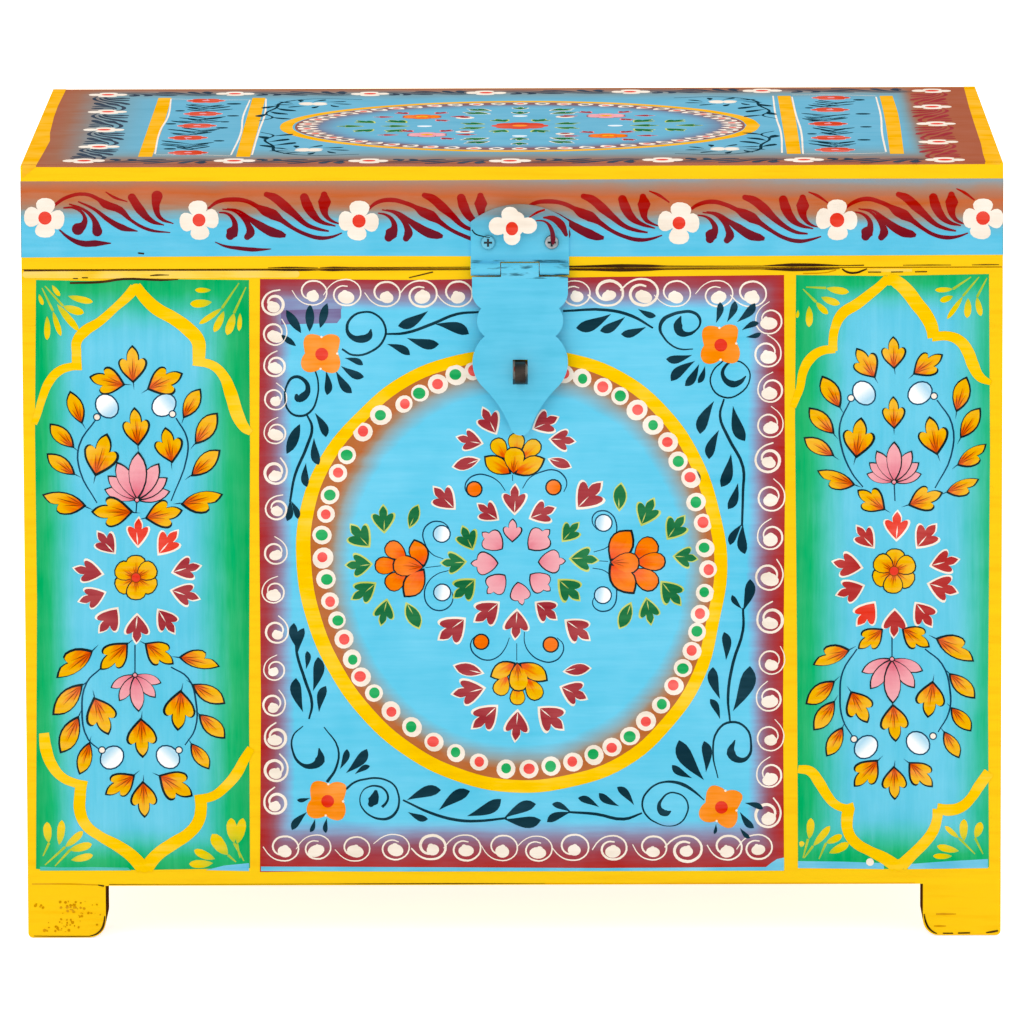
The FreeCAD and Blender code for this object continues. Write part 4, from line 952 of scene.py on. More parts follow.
CROSS_LEAVES = {
    "maroon": ((680, 148, 618, 32), (622, 190, 505, 163), (840, 125, 952, 70), (912, 170, 1028, 178),
               (500, 475, 403, 378), (690, 522, 595, 452), (760, 498, 760, 365), (825, 515, 940, 465),
               (1032, 472, 1140, 352), (545, 952, 430, 1048), (693, 882, 585, 970), (772, 912, 765, 1045),
               (852, 880, 948, 955), (982, 958, 1092, 1045), (632, 1255, 485, 1285), (960, 1248, 1080, 1300),
               (686, 1332, 575, 1435), (866, 1338, 978, 1435), (775, 1350, 765, 1490)),
    "green": ((192, 578, 185, 455), (128, 640, 42, 542), (140, 715, 22, 722), (156, 798, 50, 872),
              (205, 868, 180, 985), (578, 652, 530, 548), (550, 705, 437, 712), (588, 782, 495, 865),
              (1312, 545, 1365, 425), (1425, 605, 1500, 500), (1452, 680, 1560, 690), (1400, 790, 1488, 893),
              (1335, 862, 1358, 980), (968, 615, 1040, 530), (1000, 690, 1128, 695), (952, 782, 1048, 872))}
CROSS_BLADES = {
    "maroon": ((612, 258, 487, 295), (905, 255, 1012, 292), (628, 1192, 490, 1158), (970, 1182, 1097, 1165)),
    "green": ((300, 560, 340, 452), (288, 880, 350, 998), (1215, 485, 1222, 357), (1270, 880, 1218, 1000))}
CROSS_HEART = ((750, 620, 752, 515), (820, 650, 915, 562), (862, 705, 985, 700), (828, 758, 918, 832),
               (775, 792, 795, 895), (720, 762, 640, 845), (690, 712, 568, 712), (708, 650, 617, 575))
for fill, rim in (("maroon", "white"), ("green", "lime")):
    for motif_films, leaves in ((ivy, CROSS_LEAVES), (leaf, CROSS_BLADES)):
        for x0, y0, x1, y1 in leaves[fill]:
            base, tip = cross_spot(x0, y0), cross_spot(x1, y1)
            outlined(front_colours, fill, rim, motif_films, base, tip, rng.uniform(0.86, 1.02))
            end = between(base, tip, 0.46, rng.uniform(-0.04, 0.04))
            stamp(front_colours[rim], vein, between(base, tip, 0.03), end, 1.7, 0.12)
for index, (x0, y0, x1, y1) in enumerate(CROSS_HEART):
    outlined(front_colours, "rose", "ink", spade if index else trefoil, cross_spot(x0, y0),
             cross_spot(x1, y1), 1.02)

# Petals of the four lotuses, each from foot to tip with its breadth; the last three of each are its front.
CROSS_LOTUSES = {
    "orange_lotus": ((1280, 690, 1378, 612, 0.96), (1270, 735, 1382, 815, 0.87),
                     (1285, 705, 1420, 702, 0.78), (1175, 700, 1268, 562, 1.35),
                     (1175, 712, 1287, 842, 1.25), (1175, 705, 1306, 712, 0.92), (290, 690, 200, 628, 0.92),
                     (290, 750, 203, 818, 0.95), (265, 720, 150, 722, 0.87), (368, 725, 318, 607, 1.35),
                     (368, 735, 282, 862, 1.25), (366, 727, 228, 718, 0.87)),
    "gold": ((720, 255, 672, 168, 0.92), (790, 255, 868, 178, 0.85), (765, 240, 770, 142, 0.95),
             (745, 322, 625, 248, 1.15), (760, 322, 893, 250, 1.1), (755, 322, 762, 203, 0.98),
             (730, 1200, 685, 1285, 0.95), (815, 1210, 868, 1305, 0.88), (775, 1240, 772, 1330, 0.95),
             (765, 1145, 655, 1210, 1.2), (780, 1145, 908, 1220, 1.1), (772, 1142, 782, 1270, 0.85))}
for fill, petals in CROSS_LOTUSES.items():
    for index, (x0, y0, x1, y1, broad) in enumerate(petals):
        level = index % 6
        outlined(front_colours, fill, "ink", leaf if level in (3, 4) else round_petal, cross_spot(x0, y0),
                 cross_spot(x1, y1), broad, 0.012 * level, "ink_vein" if level == 5 else None)

CROSS_CURLS = (
    ((720, 395), (690, 355), (640, 328), (595, 325), (555, 350), (545, 385), (560, 415)),
    ((795, 385), (825, 340), (880, 312), (935, 305), (975, 330), (988, 365), (975, 400)),
    ((1105, 662), (1165, 640), (1200, 590), (1203, 535), (1180, 495), (1140, 482), (1105, 500), (1100, 535),
     (1120, 565)),
    ((1100, 732), (1155, 745), (1195, 790), (1205, 850), (1190, 900), (1155, 920), (1115, 910), (1100, 880),
     (1115, 850)),
    ((450, 692), (400, 670), (368, 620), (362, 575), (385, 540), (425, 528), (465, 545), (482, 580)),
    ((475, 742), (420, 760), (380, 800), (368, 850), (385, 895), (430, 917), (475, 900), (492, 865),
     (487, 835)),
    ((738, 1035), (720, 1080), (685, 1120), (640, 1133), (595, 1115), (570, 1080), (575, 1045), (595, 1025)),
    ((803, 1010), (805, 1060), (830, 1105), (875, 1135), (925, 1140), (965, 1110), (972, 1065), (945, 1035)),
    ((752, 325), (752, 352)), ((770, 1060), (770, 1135)), ((1120, 700), (1168, 703)),
    ((372, 730), (440, 722)))
for line in CROSS_CURLS:
    stroke(front_colours["stem"], [cross_spot(*p) for p in line], (0.6, 0.9, 1.0, 0.6))
CROSS_PEARLS = (
    ("tangerine", "ink", 3.5, 4.3, ((585, 388), (930, 380), (615, 1053), (918, 1065))),
    ("bud", "stem", 4.0, 4.7, ((1148, 535), (1145, 850), (443, 583), (445, 838))))
for fill, rim, fill_reach, rim_reach, places in CROSS_PEARLS:
    for x, y in places:
        dot(front_colours[rim], cross_spot(x, y), rim_reach, 0.0, 1.0, 1.4)
        dot(front_colours[fill], cross_spot(x, y), fill_reach, 0.04, 1.0, 1.4)


def motif_fade(spread):
    """A fade along each motif's own map: 0 at its base, 1 at its tip, and nearer 1 to its sides by spread.

    It has streaks from base to tip, as the brush leaves when two wet colours are drawn together."""
    def fade(material, place):
        own = add_node(material, "UVMap", uv_map="base_to_tip").outputs["UV"]
        parts = add_node(material, "SeparateXYZ", {"Vector": own})
        off = add_node(material, "Math", {0: parts.outputs["X"], 1: 0.5}, operation="SUBTRACT")
        aside = add_node(material, "Math", {0: off.outputs[0]}, operation="ABSOLUTE")
        smooth = add_node(material, "Math", {0: aside.outputs[0], 1: spread, 2: parts.outputs["Y"]},
                          operation="MULTIPLY_ADD")
        streak = add_node(material, "TexNoise", {
            "Vector": add_node(material, "Mapping", {
                "Vector": own, "Scale": (14.0, 1.6, 1.0)}).outputs["Vector"],
            "Scale": 1.0, "Detail": 1.0})
        centred = add_node(material, "Math", {0: streak.outputs["Fac"], 1: 0.5}, operation="SUBTRACT")
        return add_node(material, "Math", {0: centred.outputs[0], 1: spread * 0.5, 2: smooth.outputs[0]},
                        operation="MULTIPLY_ADD").outputs[0]
    return fade


def mixed(name, thin, even, thick, blend=0.6):
    """A ready-mixed enamel of one colour, with its tones where it lies thin, even and thick."""
    return enamel(name, ((0.2, thin), (0.5, even), (0.8, thick)), blend=blend)


# Leaves and petals are blended wet, from a hot colour at their base to a light one at their tip.
PAINTS = {
    "yellow": enamel("yellow_enamel", ((0.2, YELLOW_DEEP), (0.5, YELLOW), (0.85, "#FFD124")), blend=0.5),
    "white": mixed("cream_enamel", "#F1E2D0", "#FBEDDD", "#FFF5E9"),
    "sky": mixed("sky_blue_enamel", "#62BCDC", "#72C6E6", "#8AD2EC"),
    "navy": mixed("navy_enamel", "#0E2C38", "#153642", "#1E4656"),
    "ink": mixed("ink_line_enamel", "#101C20", "#1A2A2C", "#2A3C3C"),
    "ink_vein": mixed("brown_line_enamel", "#8A3A14", "#9C4A18", "#B05A1C"),
    "stem": mixed("blue_line_enamel", "#0E3650", "#164460", "#245A76"),
    "gold": enamel("gold_leaf_enamel", (
        (0.0, "#E8501E"), (0.31, "#EC6A20"), (0.5, "#F2941C"), (0.65, "#F3B01C"), (1.0, "#F4BC20")),
        motif_fade(1.3), 0.1),
    "orange_lotus": enamel("orange_petal_enamel", (
        (0.0, "#F04A2C"), (0.35, "#F66A2A"), (0.7, "#FB852C"), (1.0, "#F47C2C")), motif_fade(0.5), 0.1),
    "pink": enamel("lotus_pink_enamel", (
        (0.0, "#DE5A70"), (0.35, "#EC8E9C"), (0.7, "#F4A6AE"), (1.0, "#F2AEB4")), motif_fade(0.4), 0.1),
    "rose": enamel("rose_pink_enamel", (
        (0.0, "#E88090"), (0.4, "#F2A2AC"), (1.0, "#F6B8BE")), motif_fade(0.4), 0.1),
    "maroon": mixed("maroon_enamel", "#98323A", "#A63C42", "#B4484A"),
    "red": mixed("vermilion_enamel", "#E03C2E", "#EA4636", "#F25444"),
    "brick": mixed("brick_red_enamel", "#AC3434", "#B83A38", "#C4443E"),
    "light_red": mixed("light_red_enamel", "#EE544E", "#F8625C", "#FC706A"),
    "orange": mixed("orange_enamel", "#F6882C", "#FF9636", "#FFA446"),
    "green": mixed("leaf_green_enamel", "#1A603A", "#247444", "#30864E"),
    "green_dot": mixed("bright_green_enamel", "#229C54", "#2EAE62", "#3EBA70"),
    "lime": mixed("lime_line_enamel", "#B4C056", "#CAD470", "#DCE490"),
    "bud": enamel("pearl_enamel", (
        (0.0, "#FFFFFF"), (0.42, "#FAFDFE"), (0.62, "#D6EDF8"), (0.85, "#B0DBF0"), (1.0, "#BCE2F3")),
        motif_fade(0.0), 0.15),
    "teal": mixed("teal_enamel", "#3CB894", "#4ABEAA", "#5CC4C4", 0.8),
    "lilac": enamel("lilac_enamel", ((0.25, "#7A6284"), (0.5, "#786A94"), (0.8, "#7C7EA8")), blend=0.8),
    "pale_lilac": mixed("pale_lilac_enamel", "#8884B0", "#8890B8", "#8AA4C8", 0.8),
    "tangerine": mixed("tangerine_enamel", "#F0661C", "#F87822", "#FC8A34"),
    "dab": enamel("olive_yellow_dab_enamel", (
        (0.0, "#B8C43C"), (0.3, "#DCCC2C"), (0.65, "#F0CE24"), (1.0, "#F4CE1E")), motif_fade(0.0), 0.2),
    "olive": mixed("olive_yellow_enamel", "#8CBC48", "#B0C43A", "#D8CC2C"),
}
# How high the paint's top lies above its board, in mm, for each colour and for all the others.
TOPS = {"yellow": 0.24, "navy": 0.22, "ink": 0.2, "ink_vein": 0.24, "stem": 0.2, "sky": 0.14, "teal": 0.14,
        "lilac": 0.14, "pale_lilac": 0.13, "olive": 0.19, "ground": GROUND_TOP, "disc": DISC_TOP}
PAINT_TOP = 0.2


def lay_colours(surface, colours, board, body, grounds=None):
    """Lays all the colours of one painted surface, with its grounds' own enamels where it has them."""
    paints = {**PAINTS, **(grounds or {})}
    for colour, marks in colours.items():
        name = surface + "_" + colour + "_painting"
        lay(name, marks, board, TOPS.get(colour, PAINT_TOP), paints[colour], body)


lay_colours("front", front_colours, FRONT, "carcass")


# Wear of the front: paint rubbed off along the joint with the lid, so that dark wood shows, paler yellow
# under it, scratches, and brown speckles and chips on the feet; and painted shade along the front's bottom
# edge and round the feet's inner corners.
WEAR_AND_SHADE_LINES = {
    "worn_and_shade": (
        ((24, 270.6, 1.6), (60, 270.6, 1), (120, 270.4, 0.8), (200, 270.2, 1), (268, 270, 1), (288, 270, 2),
         (306, 270.1, 1.6), (318, 270, 0.7)),
        ((318, 270, 0.7), (332, 270.1, 2.2), (346, 270, 1.4), (470, 269.6, 0.8)),
        ((568, 269.6, 1.6), (593, 269.7, 2), (620, 270, 3.2), (648, 269.6, 2.6), (665, 269.2, 1.2),
         (770, 268.9, 0.8)),
        ((760, 268.9, 0.7), (775, 269.2, 2), (792, 269.6, 3.2), (813, 269.3, 2.8), (827, 268.9, 1.6),
         (840, 268.6, 0.6)),
        ((842, 268.8, 1.2), (847, 272, 2), (856, 272.7, 2), (864, 270, 1.6), (867, 268.8, 1)),
        ((868, 272, 1), (881, 272, 1)), ((891, 272, 1), (903, 271.8, 1)), ((915, 271.8, 1), (927, 271.6, 1)),
        ((70, 283, 2), (101, 282, 2.4), (124, 279, 2.2), (161, 280, 2), (178, 279.5, 1)),
        ((73, 278.5, 1), (78, 278.5, 1)),
        ((82, 277.7, 1), (88, 277.7, 1)), ((150, 275.6, 0.8), (157, 275, 1.6), (169, 275, 0.6)),
        ((409, 277.7, 1), (433, 272, 1.2)),
        ((943, 933.2, 1.2), (953, 933.2, 1.2)), ((958, 933, 1.4), (970, 932.8, 1.4)),
        ((986, 932.6, 1), (993, 931.6, 2), (998, 930.6, 1.6)),
        # Painted shade: the next lines darken the rounded inner corners of the feet and the front's bottom
        # edge.
        ((104.8, 916, 1), (104, 923, 2), (101.9, 928.7, 2), (98.6, 932.4, 1.7), (94.3, 934.8, 1.3),
         (90, 935.9, 0.9)),
        ((924.1, 914, 1), (925.8, 922, 2), (928.9, 928, 2), (932.9, 931.6, 1.6), (937, 933.6, 0.9)),
        ((109, 884.5, 0.6), (170, 884.4, 0.3), (250, 884.2, 0.4), (330, 883.9, 0.5), (366, 883.8, 0.9),
         (450, 883.6, 1), (545, 883.5, 0.4)),
        ((34, 936, 0.6), (60, 936.3, 0.8), (90, 936.2, 0.8)), ((98, 885, 1), (104, 886, 1.6))),
    "amber": (
        # Painted shade in amber: a line along the front's bottom edge.
        ((545, 883.5, 0.7), (620, 883.4, 0.5), (700, 883.3, 0.7), (915, 883, 0.5)),
        ((803, 273.5, 1), (827, 272.4, 1), (836, 270, 1)), ((32, 884, 0.8), (70, 884, 1.2), (98, 885, 0.8)),
        ((936, 914, 1.4), (944, 914, 2), (956, 914, 0.8)),
        ((934, 926, 1), (939, 926, 1.8), (946, 926, 0.8))),
    "pale": (((26, 274.5, 7), (120, 274.4, 8), (220, 274.2, 7.5), (296, 274, 7)),
             ((868, 270.6, 3), (890, 270.4, 3.2), (912, 270.2, 2.6)))}
WEAR_TOPS = {"worn_and_shade": 0.26, "amber": 0.16, "pale": 0.16}
PAINTS["worn_and_shade"] = mixed("rubbed_dark_wood_and_painted_shade", "#2A1A10", "#402814", "#5E3E1C")
PAINTS["amber"] = mixed("amber_stain", "#C48408", "#D8960C", "#E6A410")
PAINTS["pale"] = mixed("rubbed_yellow_enamel", "#F6C63C", "#FFD658", "#F2CE74", 0.7)
wear_and_shade_marks = defaultdict(list)
for colour, lines in WEAR_AND_SHADE_LINES.items():
    for index, line in enumerate(lines):
        brush(wear_and_shade_marks[colour], spot, line, 0.011 * (index % 4))
chance = random.Random(7)
# Speckles of the left foot: the middle, spread and number of each swarm, kept within the foot.
SPECKLES = ((72, 905, 6, 26), (60, 926, 7, 30), (39, 906, 3, 6), (80, 918, 8, 14), (93, 910, 5, 6))
for x, y, spread, count in SPECKLES:
    for index in range(count):
        across, down = chance.gauss(x, spread), chance.gauss(y, spread * 0.8)
        if 30 < across < 102 and 888 < down < 932:
            dot(wear_and_shade_marks["amber"], spot(across, down), chance.uniform(0.2, 0.75), 0.011 * (index % 7),
                chance.uniform(0.5, 1.2), chance.uniform(0, 3))
for colour, marks in wear_and_shade_marks.items():
    lay("front_" + colour + "_wear", marks, FRONT, WEAR_TOPS[colour], PAINTS[colour], "carcass")


# Sides and back of the carcass: they don't show in the photograph. The sides are painted with three arched
# fields like those of the front, and the back has one plain ground in a yellow frame, as such trunks have.
SIDE_MIDDLE = (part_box("front_panel")[0].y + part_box("back_panel")[1].y) / 2
SIDE_STEP = 114.5
SIDE_FIELD_HALF = 0.0545
SIDE_HEIGHTS = (0.034, 0.346)
SIDE_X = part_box("right_side_panel")[1].x
# Films are pressed flatter on the sides and on the lid.
FLATTER = 0.6
side_ground = enamel("side_ground_enamel", GREEN_FADE, edge_fade(
    {"Y": (SIDE_MIDDLE - SIDE_FIELD_HALF, SIDE_MIDDLE + SIDE_FIELD_HALF), "Z": SIDE_HEIGHTS},
    {"Y": (0.03, 0.03), "Z": (0.038, 0.038)}, SIDE_STEP * MM), grain=UPRIGHT)
LEFT_SIDE = face((-SIDE_X, SIDE_MIDDLE, 0.0), (0, -1, 0), (0, 0, 1), FLATTER)
RIGHT_SIDE = face((SIDE_X, SIDE_MIDDLE, 0.0), (0, 1, 0), (0, 0, 1), FLATTER)
for side_name, board in (("left", LEFT_SIDE), ("right", RIGHT_SIDE)):
    side_colours = defaultdict(list)
    for panel, shift in ((LEFT_PANEL, -SIDE_STEP), (RIGHT_PANEL, 0.0), (LEFT_PANEL, SIDE_STEP)):
        def side_place(across, down, middle=panel["middle"], shift=shift):
            """A pixel of a front field, put on the side with the field's middle at shift mm."""
            return (across - middle) * PIXEL_WIDE + shift, spot(across, down)[1]

        side_colours["ground"].append(straight([side_place(*p) for p in panel["field"]]))
        paint_panel(side_colours, panel, side_place)
    lay_colours(side_name + "_side", side_colours, board, "carcass", {"ground": side_ground})

BACK = face((0.0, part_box("back_panel")[1].y, 0.0), (-1, 0, 0), (0, 0, 1))
BACK_FIELD = ((-243, 34), (-80, 35), (120, 33.5), (243, 34.5), (242, 190), (243, 340), (60, 341),
              (-150, 339.5), (-243, 340), (-242.5, 170))
back_ground = enamel("back_ground_enamel", GREEN_FADE, edge_fade(
    {"X": (-0.243, 0.243), "Z": SIDE_HEIGHTS}, {"X": (0.05, 0.05), "Z": (0.05, 0.05)}), grain=UPRIGHT)
lay("back_ground", [straight(BACK_FIELD)], BACK, GROUND_TOP, back_ground, "carcass")


# Staple, nails and hinges: common ironmongery. The staple is a bent strap of black iron, clinched inside;
# the butt hinges are zinc-plated sheet with rolled knuckles on wire pins, held by small countersunk screws.
def sheet_metal(name, dark, light, rough, metallic):
    """Rolled sheet or drawn wire: a grey metal, with fine scratches about 1 mm apart and duller patches."""
    material = blank_material(name)
    place = add_node(material, "TexCoord").outputs["Object"]
    patches = add_node(material, "TexNoise", {"Vector": place, "Scale": 180.0, "Detail": 4.0})
    scratches = add_node(material, "TexNoise", {
        "Vector": add_node(material, "Mapping", {
            "Vector": place, "Scale": (60.0, 900.0, 900.0)}).outputs["Vector"],
        "Scale": 1.0, "Detail": 2.0})
    colour = add_node(material, "ValToRGB", {"Fac": patches.outputs["Fac"]},
                      stops=((0.3, dark), (0.7, light)))
    shine = add_node(material, "MapRange", {
        "Value": scratches.outputs["Fac"], "To Min": rough - 0.1, "To Max": rough + 0.12})
    relief = add_node(material, "Bump", {
        "Height": scratches.outputs["Fac"], "Strength": 0.15, "Distance": 0.0001})
    surface = add_node(material, "BsdfPrincipled", {
        "Base Color": colour.outputs["Color"], "Metallic": metallic, "Roughness": shine.outputs[0],
        "Normal": relief.outputs["Normal"]})
    add_node(material, "OutputMaterial", {"Surface": surface.outputs["BSDF"]})
    return material


black_iron = sheet_metal("black_iron", "#241F1C", "#4A4038", 0.5, 0.8)
zinc_plate = sheet_metal("zinc_plated_steel", "#9A9C9E", "#C6C8C8", 0.36, 1.0)
finish(black_iron, "hasp_staple", "floor_nails", "foot_screws")
finish(zinc_plate, "left_hinge_carcass_leaf", "right_hinge_carcass_leaf", "left_hinge_pin",
       "right_hinge_pin", "carcass_hinge_screws", "left_hinge_lid_leaf", "right_hinge_lid_leaf",
       "lid_hinge_screws", "hasp_pin")


# Painted rails of the lid: a ground blended from orange-brown at the top to turquoise, with a row of white
# flowers and a spray of dark red brush strokes from one to the next. The back rail has its ground alone.
RAIL_FLOWERS = ((45, 218), (199, 220), (359, 221), (514, 222), (679, 223), (837, 220), (983, 218))
RAIL_LOW, RAIL_HIGH = 352.6, 391.6
RAIL_HALF, SIDE_RAIL_HALF = 249.8, 174.8
RAIL_FLOWER_REACH = 11.0
# Sprays are in pixels from the middle of a flower, drawn for flowers that far apart.
SPRAY_LENGTH = 155
SPRAY = (
    ((8.6, -11, 2.1), (18, -18, 3.8), (32, -21, 4.6), (46, -18.5, 4.2), (56, -13.5, 4.6), (63.5, -9, 9.5),
     (72, -5, 10.5), (80, 0.5, 5.3), (91, 8, 3.8), (103, 14.5, 3.8), (117, 18, 4.2), (128, 17, 2.9),
     (139, 13, 1.3)),
    ((65, -26, 5.3), (73, -22.5, 8.4), (83, -14.5, 9.5), (93, -5, 6.7), (104, 4, 4.6), (115, 8.8, 3.4),
     (126, 11, 1.7)),
    ((102, -23, 8.5), (104.5, -15, 10), (110, -5, 8), (118, 1.5, 4.6), (132, 6, 1.3)),
    ((121.5, -25, 6.3), (121.8, -18, 13), (121.5, -11, 8.4), (124, -3, 4.6), (129, 1.5, 2.9), (137, 4, 1)),
    ((18.8, -7.8, 1.3), (26.9, -6.3, 2.5), (33, -1, 4.2), (35, 6.3, 6.3), (32, 12.6, 12.6), (30, 16.2, 8.4)),
    ((22.9, -11, 1.3), (34, -8.4, 2.1), (43.2, -1.5, 3.8), (48.3, 6.3, 6.3), (49.4, 12.6, 8.8),
     (47, 17, 6.3)),
    ((27, -11, 1.3), (38.2, -9, 2.1), (48.3, -2.1, 4.6), (58.5, 5.3, 8), (70.8, 12, 9.5), (78.9, 14.7, 7.4),
     (84, 15.8, 3.2)))
SPUR = ((127, -31, 1.2), (136, -27, 3), (146, -20, 1.4))
THIN_SPRAY = (
    ((9, -13, 3), (22, -21, 3.5), (40, -24, 3.5), (54, -19, 4), (60, -14, 8), (76, -8, 7), (86, 2, 3.2),
     (105, 12, 3.2), (126, 15, 1)),
    ((19, -10, 1.5), (30, -10, 2.6), (40, -2, 3.4), (39, 6, 6.5), (33, 11, 12)),
    ((24, -14, 1.5), (38, -9, 2.6), (49, 2, 5), (53, 13, 10)),
    ((33, -16, 1.5), (49, -9, 3), (64, 2, 5), (78, 10, 6.5), (93, 13, 1)),
    ((61, -26, 1), (70, -21, 2.8), (83, -16, 1)),
    ((87, -21, 8), (96, -8, 9), (107, 3, 5), (120, 7, 1)),
    ((113, -22, 11), (112, -11, 7), (116, 0, 4), (129, 6, 1)))
UNDERSTROKE = ((14, 12, 1.5), (24, 20, 3.4), (38, 25, 6), (51, 25, 6.5), (66, 25, 1))
LOW_UNDERSTROKE = ((15.7, 22, 0.8), (25, 26, 2.5), (38, 28.4, 3.8), (52, 29.5, 4.2), (62, 29.5, 2.5),
                   (70, 28.8, 0.8))
# The first three sprays of a rail from the left; the others have a spur each.
FIRST_SPRAYS = (THIN_SPRAY + (UNDERSTROKE,), SPRAY + (LOW_UNDERSTROKE,), SPRAY)


def rail_fade(material, place):
    """A fade from 0 at the top of the rails to 1 at their yellow foot, a little lower to the right."""
    parts = add_node(material, "SeparateXYZ", {"Vector": place})
    down = add_node(material, "MapRange", {
        "Value": parts.outputs["Z"], "From Min": RAIL_HIGH * MM, "From Max": RAIL_LOW * MM, "To Min": 0.06})
    return add_node(material, "Math", {0: parts.outputs["X"], 1: -0.34, 2: down.outputs[0]},
                    operation="MULTIPLY_ADD").outputs[0]


rail_ground = enamel("rail_ground_enamel", (
    (0.0, "#90A0A8"), (0.08, "#A88C7C"), (0.17, "#B6785C"), (0.26, "#C8683A"), (0.38, "#BE7450"),
    (0.46, "#A68874"), (0.53, "#86A6AE"), (0.6, "#68BEDA"), (0.68, "#64C6E6")), rail_fade, 0.14)
PAINTS["crimson"] = enamel("crimson_enamel", (
    (0.1, "#B4241A"), (0.4, "#A41E1C"), (0.56, "#841A22"), (0.75, "#6C1A2A")), rail_fade, 0.2)


def four_petals(colours, centre, reach, turn, heart="red"):
    """A white flower of four round petals, with a heart of the colour named."""
    for quarter in range(4):
        angle = turn + quarter * math.pi / 2 + rng.uniform(-0.12, 0.12)
        length = reach * rng.uniform(0.94, 1.05)
        tip = around(centre, length, angle)
        stamp(colours["white"], plain_petal, centre, tip, rng.uniform(1.24, 1.36), 0.012 * quarter)
    dot(colours["white"], centre, reach * 0.4, 0.05)
    if heart:
        dot(colours[heart], centre, reach * rng.uniform(0.3, 0.34), 0.08)


def spray(marks, strokes, stretch, place):
    """Strokes from one flower to the next, drawn out to their distance and put on a board by place."""
    for index, line in enumerate(strokes):
        drawn = [(x * stretch + rng.uniform(-0.5, 0.5), y + rng.uniform(-0.5, 0.5), width)
                 for x, y, width in line]
        brush(marks, place, drawn, 0.011 * (index % 4))


def rail_outline(half):
    """The ground of a rail, from end to end, its foot a little uneven as it was painted by hand."""
    return straight([
        (-half, RAIL_LOW), (-half * 0.4, RAIL_LOW + 0.5), (half * 0.2, RAIL_LOW - 0.4), (half, RAIL_LOW),
        (half, RAIL_HIGH), (half * 0.3, RAIL_HIGH + 0.2), (-half * 0.5, RAIL_HIGH - 0.3),
        (-half, RAIL_HIGH)])


def paint_rail(name, flowers, board, half, hidden=None):
    """The ground, flowers and sprays of one rail; the hidden flower is on the hasp."""
    colours = defaultdict(list)
    for index, (across, down) in enumerate(flowers):
        if index != hidden:
            four_petals(colours, spot(across, down), RAIL_FLOWER_REACH, rng.uniform(-0.1, 0.1))
        if index < len(flowers) - 1:
            def rail_place(along, below, across=across, down=down):
                """A place in pixels from a flower's middle, on the rail."""
                return spot(across + along, down + below)

            strokes = FIRST_SPRAYS[index] if index < len(FIRST_SPRAYS) else SPRAY + (SPUR,)
            spray(colours["crimson"], strokes, (flowers[index + 1][0] - across) / SPRAY_LENGTH, rail_place)
    lay(name + "_ground", [rail_outline(half)], board, GROUND_TOP, rail_ground, "lid")
    lay_colours(name, colours, board, "lid")


paint_rail("lid_front", RAIL_FLOWERS, FRONT, RAIL_HALF, 3)
SIDE_FLOWERS = [(across, 220) for across in (207, 360, 513, 666, 819)]
paint_rail("lid_left", SIDE_FLOWERS, LEFT_SIDE, SIDE_RAIL_HALF)
paint_rail("lid_right", SIDE_FLOWERS, RIGHT_SIDE, SIDE_RAIL_HALF)
RAIL_WORN = (
    ((268, 267.8, 0.5), (288, 267.5, 1.4), (318, 267.8, 0.5)),
    ((320, 267.7, 0.5), (334, 267.4, 1.5), (352, 267.6, 0.9), (470, 267.1, 0.7)),
    ((568, 266.6, 1.4), (593, 266.2, 2.2), (620, 265.8, 3.4), (648, 265.9, 2.8), (668, 266.1, 1.1),
     (770, 266, 0.7)),
    ((762, 266, 0.6), (778, 265.3, 2), (792, 265, 3.4), (813, 265, 3), (828, 265.2, 1.8), (842, 265.5, 0.7),
     (864, 265.2, 1)),
    ((903, 265.2, 0.5), (930, 265, 0.9), (951, 265, 0.5)),
    ((972, 264.9, 0.5), (986, 264.7, 1), (999, 264.6, 0.6)),
    ((138, 253, 1.4), (144, 253.6, 1.8)))
rail_wear = []
for line in RAIL_WORN:
    brush(rail_wear, spot, line)
lay("lid_front_wear", rail_wear, FRONT, WEAR_TOPS["worn_and_shade"], PAINTS["worn_and_shade"], "lid")
lay("lid_back_ground", [rail_outline(RAIL_HALF)], BACK, GROUND_TOP, rail_ground, "lid")


# Painted top of the lid: yellow edges, a brown border blended to blue with white flowers and sprays, two
# yellow stripes at each end with red flowers between them, and a medallion like that of the front.
LID_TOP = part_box("lid_top_panel")[1].z
LID = face((0.0, SIDE_MIDDLE, LID_TOP), (1, 0, 0), (0, 1, 0), FLATTER)


def lid_spot(across, down):
    """The place on the lid, in mm from its middle, of a pixel of the photograph."""
    place = seen(across, down, 2, LID_TOP)
    return place.x * METRE, (place.y - SIDE_MIDDLE) * METRE


# The lid's yellow, and the blue of its ground and medallion, are deeper than the front's colours: painted
# shade on the top.
PAINTS["lid_yellow"] = mixed("yellow_enamel_deepened_as_shade", "#F2AA20", "#FBB92A", "#FFC334", 0.5)
PAINTS["coral"] = mixed("coral_enamel", "#D0452E", "#DC5238", "#E8705A")
PAINTS["slate"] = mixed("slate_enamel", "#2C3848", "#3C4858", "#505C6C")
lid_ground = enamel("lid_top_ground_enamel", (
    (0.0, "#AE6248"), (0.2, "#A4705A"), (0.36, "#92847E"), (0.55, "#80A0AA"), (0.8, "#74B0C8"),
    (1.0, "#70B6D2")),
    edge_fade({"X": (-0.246, 0.2155), "Y": (SIDE_MIDDLE - 0.18, SIDE_MIDDLE + 0.18)},
              {"X": (0.06, 0.014), "Y": (0.085, 0.07)}), 0.1)
